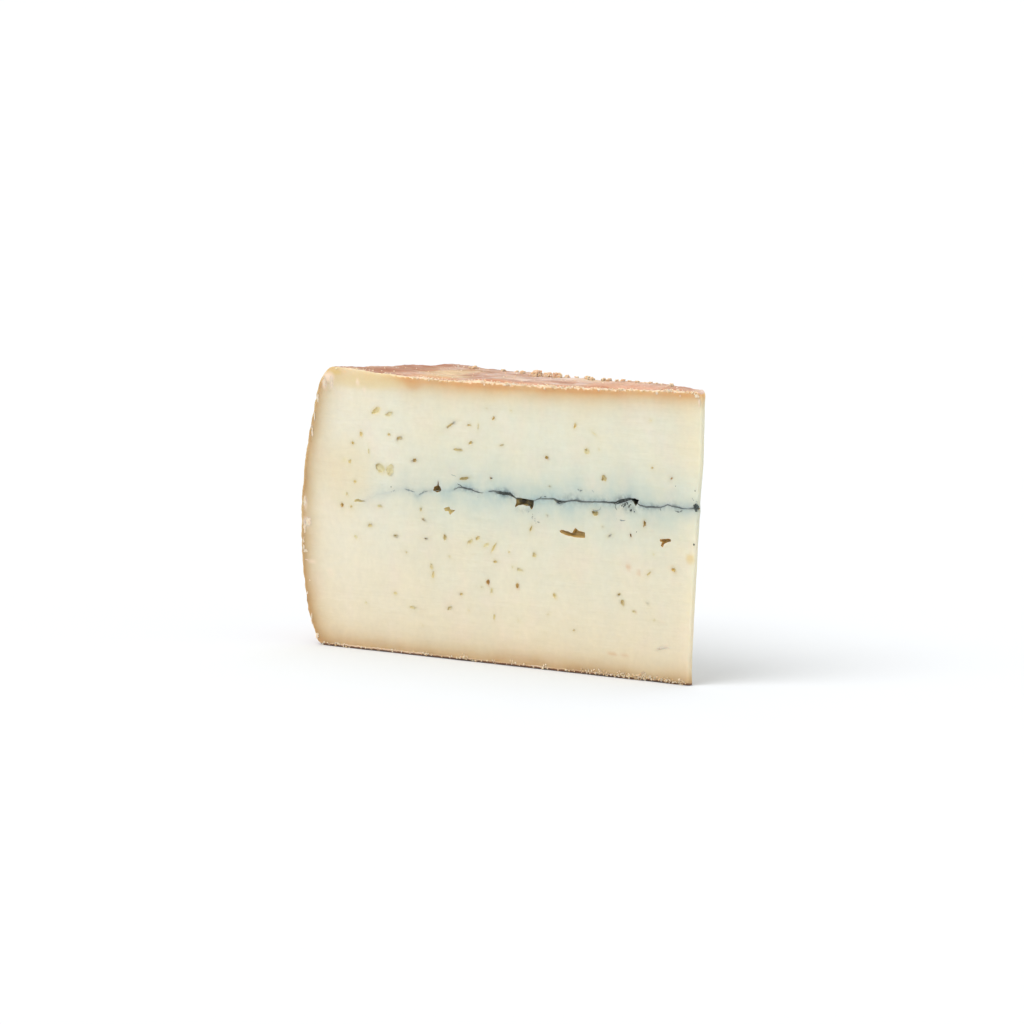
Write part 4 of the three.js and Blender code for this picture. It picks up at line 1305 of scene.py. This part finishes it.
def make_crust():
    points, quads, _ = lattice(BODY_STEPS)
    at = body_surface(points / BODY_STEPS)
    skin = (at, quads.tolist())
    reach, turn, up = wedge_coordinates(at)
    below = HEIGHT + top_lift(reach - tip_at(up), turn) - up
    across = turn * (reach - tip_at(up) + APEX_GAP) * 2 * math.tan(HALF_ANGLE)
    patchy = 0.7 + 0.6 * rough(at, (5, 5, 5), 51, 2)

    # Beads along the upper rind's front edge, short of the heel, and crumbs of it on the rind behind.
    edge = smooth(0.6, 0.2, np.maximum(below, across)) * (0.03 + 0.97 * smooth(112, 100, reach))
    top = grains("crust_beads_top", skin, edge * patchy, BEADS, GRAIN_MATERIAL, 21)
    crumbs = smooth(1.4, 0.2, below) * (0.1 + 0.9 * smooth(2.6, 0.8, across)) * (across > 0.6)
    more = grains("crust_crumbs_top", skin, crumbs * patchy, CRUMBS, GRAIN_MATERIAL, 22)

    # At the foot the beads stand in a low line, with a broader band of them towards the tip.
    broad = smooth(44, 34, reach) * smooth(-6, 4, reach)
    peaks = sum(np.exp(-(((reach - peak) / 0.9) ** 2)) for peak in FOOT_PEAKS)
    high = 0.8 + broad * (0.7 + 0.5 * rough(at, (4, 4, 4), 57, 2)) + 0.9 * peaks
    near = smooth(high + 0.2, high - 0.2, up) * smooth(0.1, 0, turn) * (up > 0.5)
    foot = near * (0.25 + 0.7 * broad + 0.5 * peaks)
    low = grains("crust_beads_foot", skin, foot, FOOT_BEADS, FOOT_MATERIAL, 23)

    parts = [part for number, row in enumerate(CRAGS) for part in crag(*row, 200 + number)]
    craggy = joined("crust_crags", parts, [CRAG_MATERIAL])
    pale = joined("rind_flakes", flakes(), [FLAKE_MATERIAL])
    for piece in (craggy, pale):
        smooth_but_sharp(piece.data, 50)
        keep_in_box(piece)
    return top, more, low, craggy, pale


# Lights: name, the way to it, strength and how many degrees wide it looks.
LIGHTS = (
    ("side_softbox", (0.03, -0.59, 0.8), 1.72, 46),
    ("overhead_softbox", (-0.4, 0.32, 0.86), 0.72, 60),
)
ROOM_LIGHT = 0.75


def make_stage():
    """A floor so wide that its edge lies above the picture, two broad soft boxes and a pale room."""
    bpy.ops.mesh.primitive_circle_add(vertices=96, radius=70, fill_type="NGON", location=(0, 0, -0.00004))
    floor = bpy.context.object
    floor.name = "studio_floor"
    floor.data.materials.append(painted_board())
    for name, towards, strength, wide in LIGHTS:
        light = bpy.data.lights.new(name, "SUN")
        light.energy = strength
        light.angle = math.radians(wide)
        lamp = bpy.data.objects.new(name, light)
        lamp.rotation_euler = Vector(towards).to_track_quat("Z", "Y").to_euler()
        bpy.context.scene.collection.objects.link(lamp)
    world = bpy.data.worlds.new("pale_room")
    world.use_nodes = True
    background = world.node_tree.nodes["Background"]
    background.inputs["Color"].default_value = colour("fbfdff")
    background.inputs["Strength"].default_value = ROOM_LIGHT
    bpy.context.scene.world = world


# The camera's place, fitted to the photo: its angles in degrees, what it looks at, and how far that is.
AZIMUTH = 52.98
ELEVATION = 5.07
AIM = (44.8, -39.0, 47.65)
DISTANCE = 1638.5
LENS = 210.94


def make_camera():
    """Looks at the front cut face from the photo's place, with a long lens."""
    azimuth, elevation = math.radians(AZIMUTH), math.radians(ELEVATION)
    level = math.cos(elevation)
    ahead = Vector((-math.sin(azimuth) * level, math.cos(azimuth) * level, -math.sin(elevation)))
    lens = bpy.data.cameras.new("camera")
    lens.sensor_width = 36
    lens.lens = LENS
    lens.clip_end = 200
    camera = bpy.data.objects.new("camera", lens)
    camera.location = (Vector(AIM) - ahead * DISTANCE) * MM
    camera.rotation_euler = (-ahead).to_track_quat("Z", "Y").to_euler()
    bpy.context.scene.collection.objects.link(camera)
    bpy.context.scene.camera = camera


body = make_body()
ash = make_ash()
crust = make_crust()
make_stage()
make_camera()
bpy.context.scene.view_settings.view_transform = "Standard"

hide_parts("cheese_paste")
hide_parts("ash_layer")
for piece in (body, *crust):
    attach(piece, "root")
for piece in ash:
    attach(piece, "root")
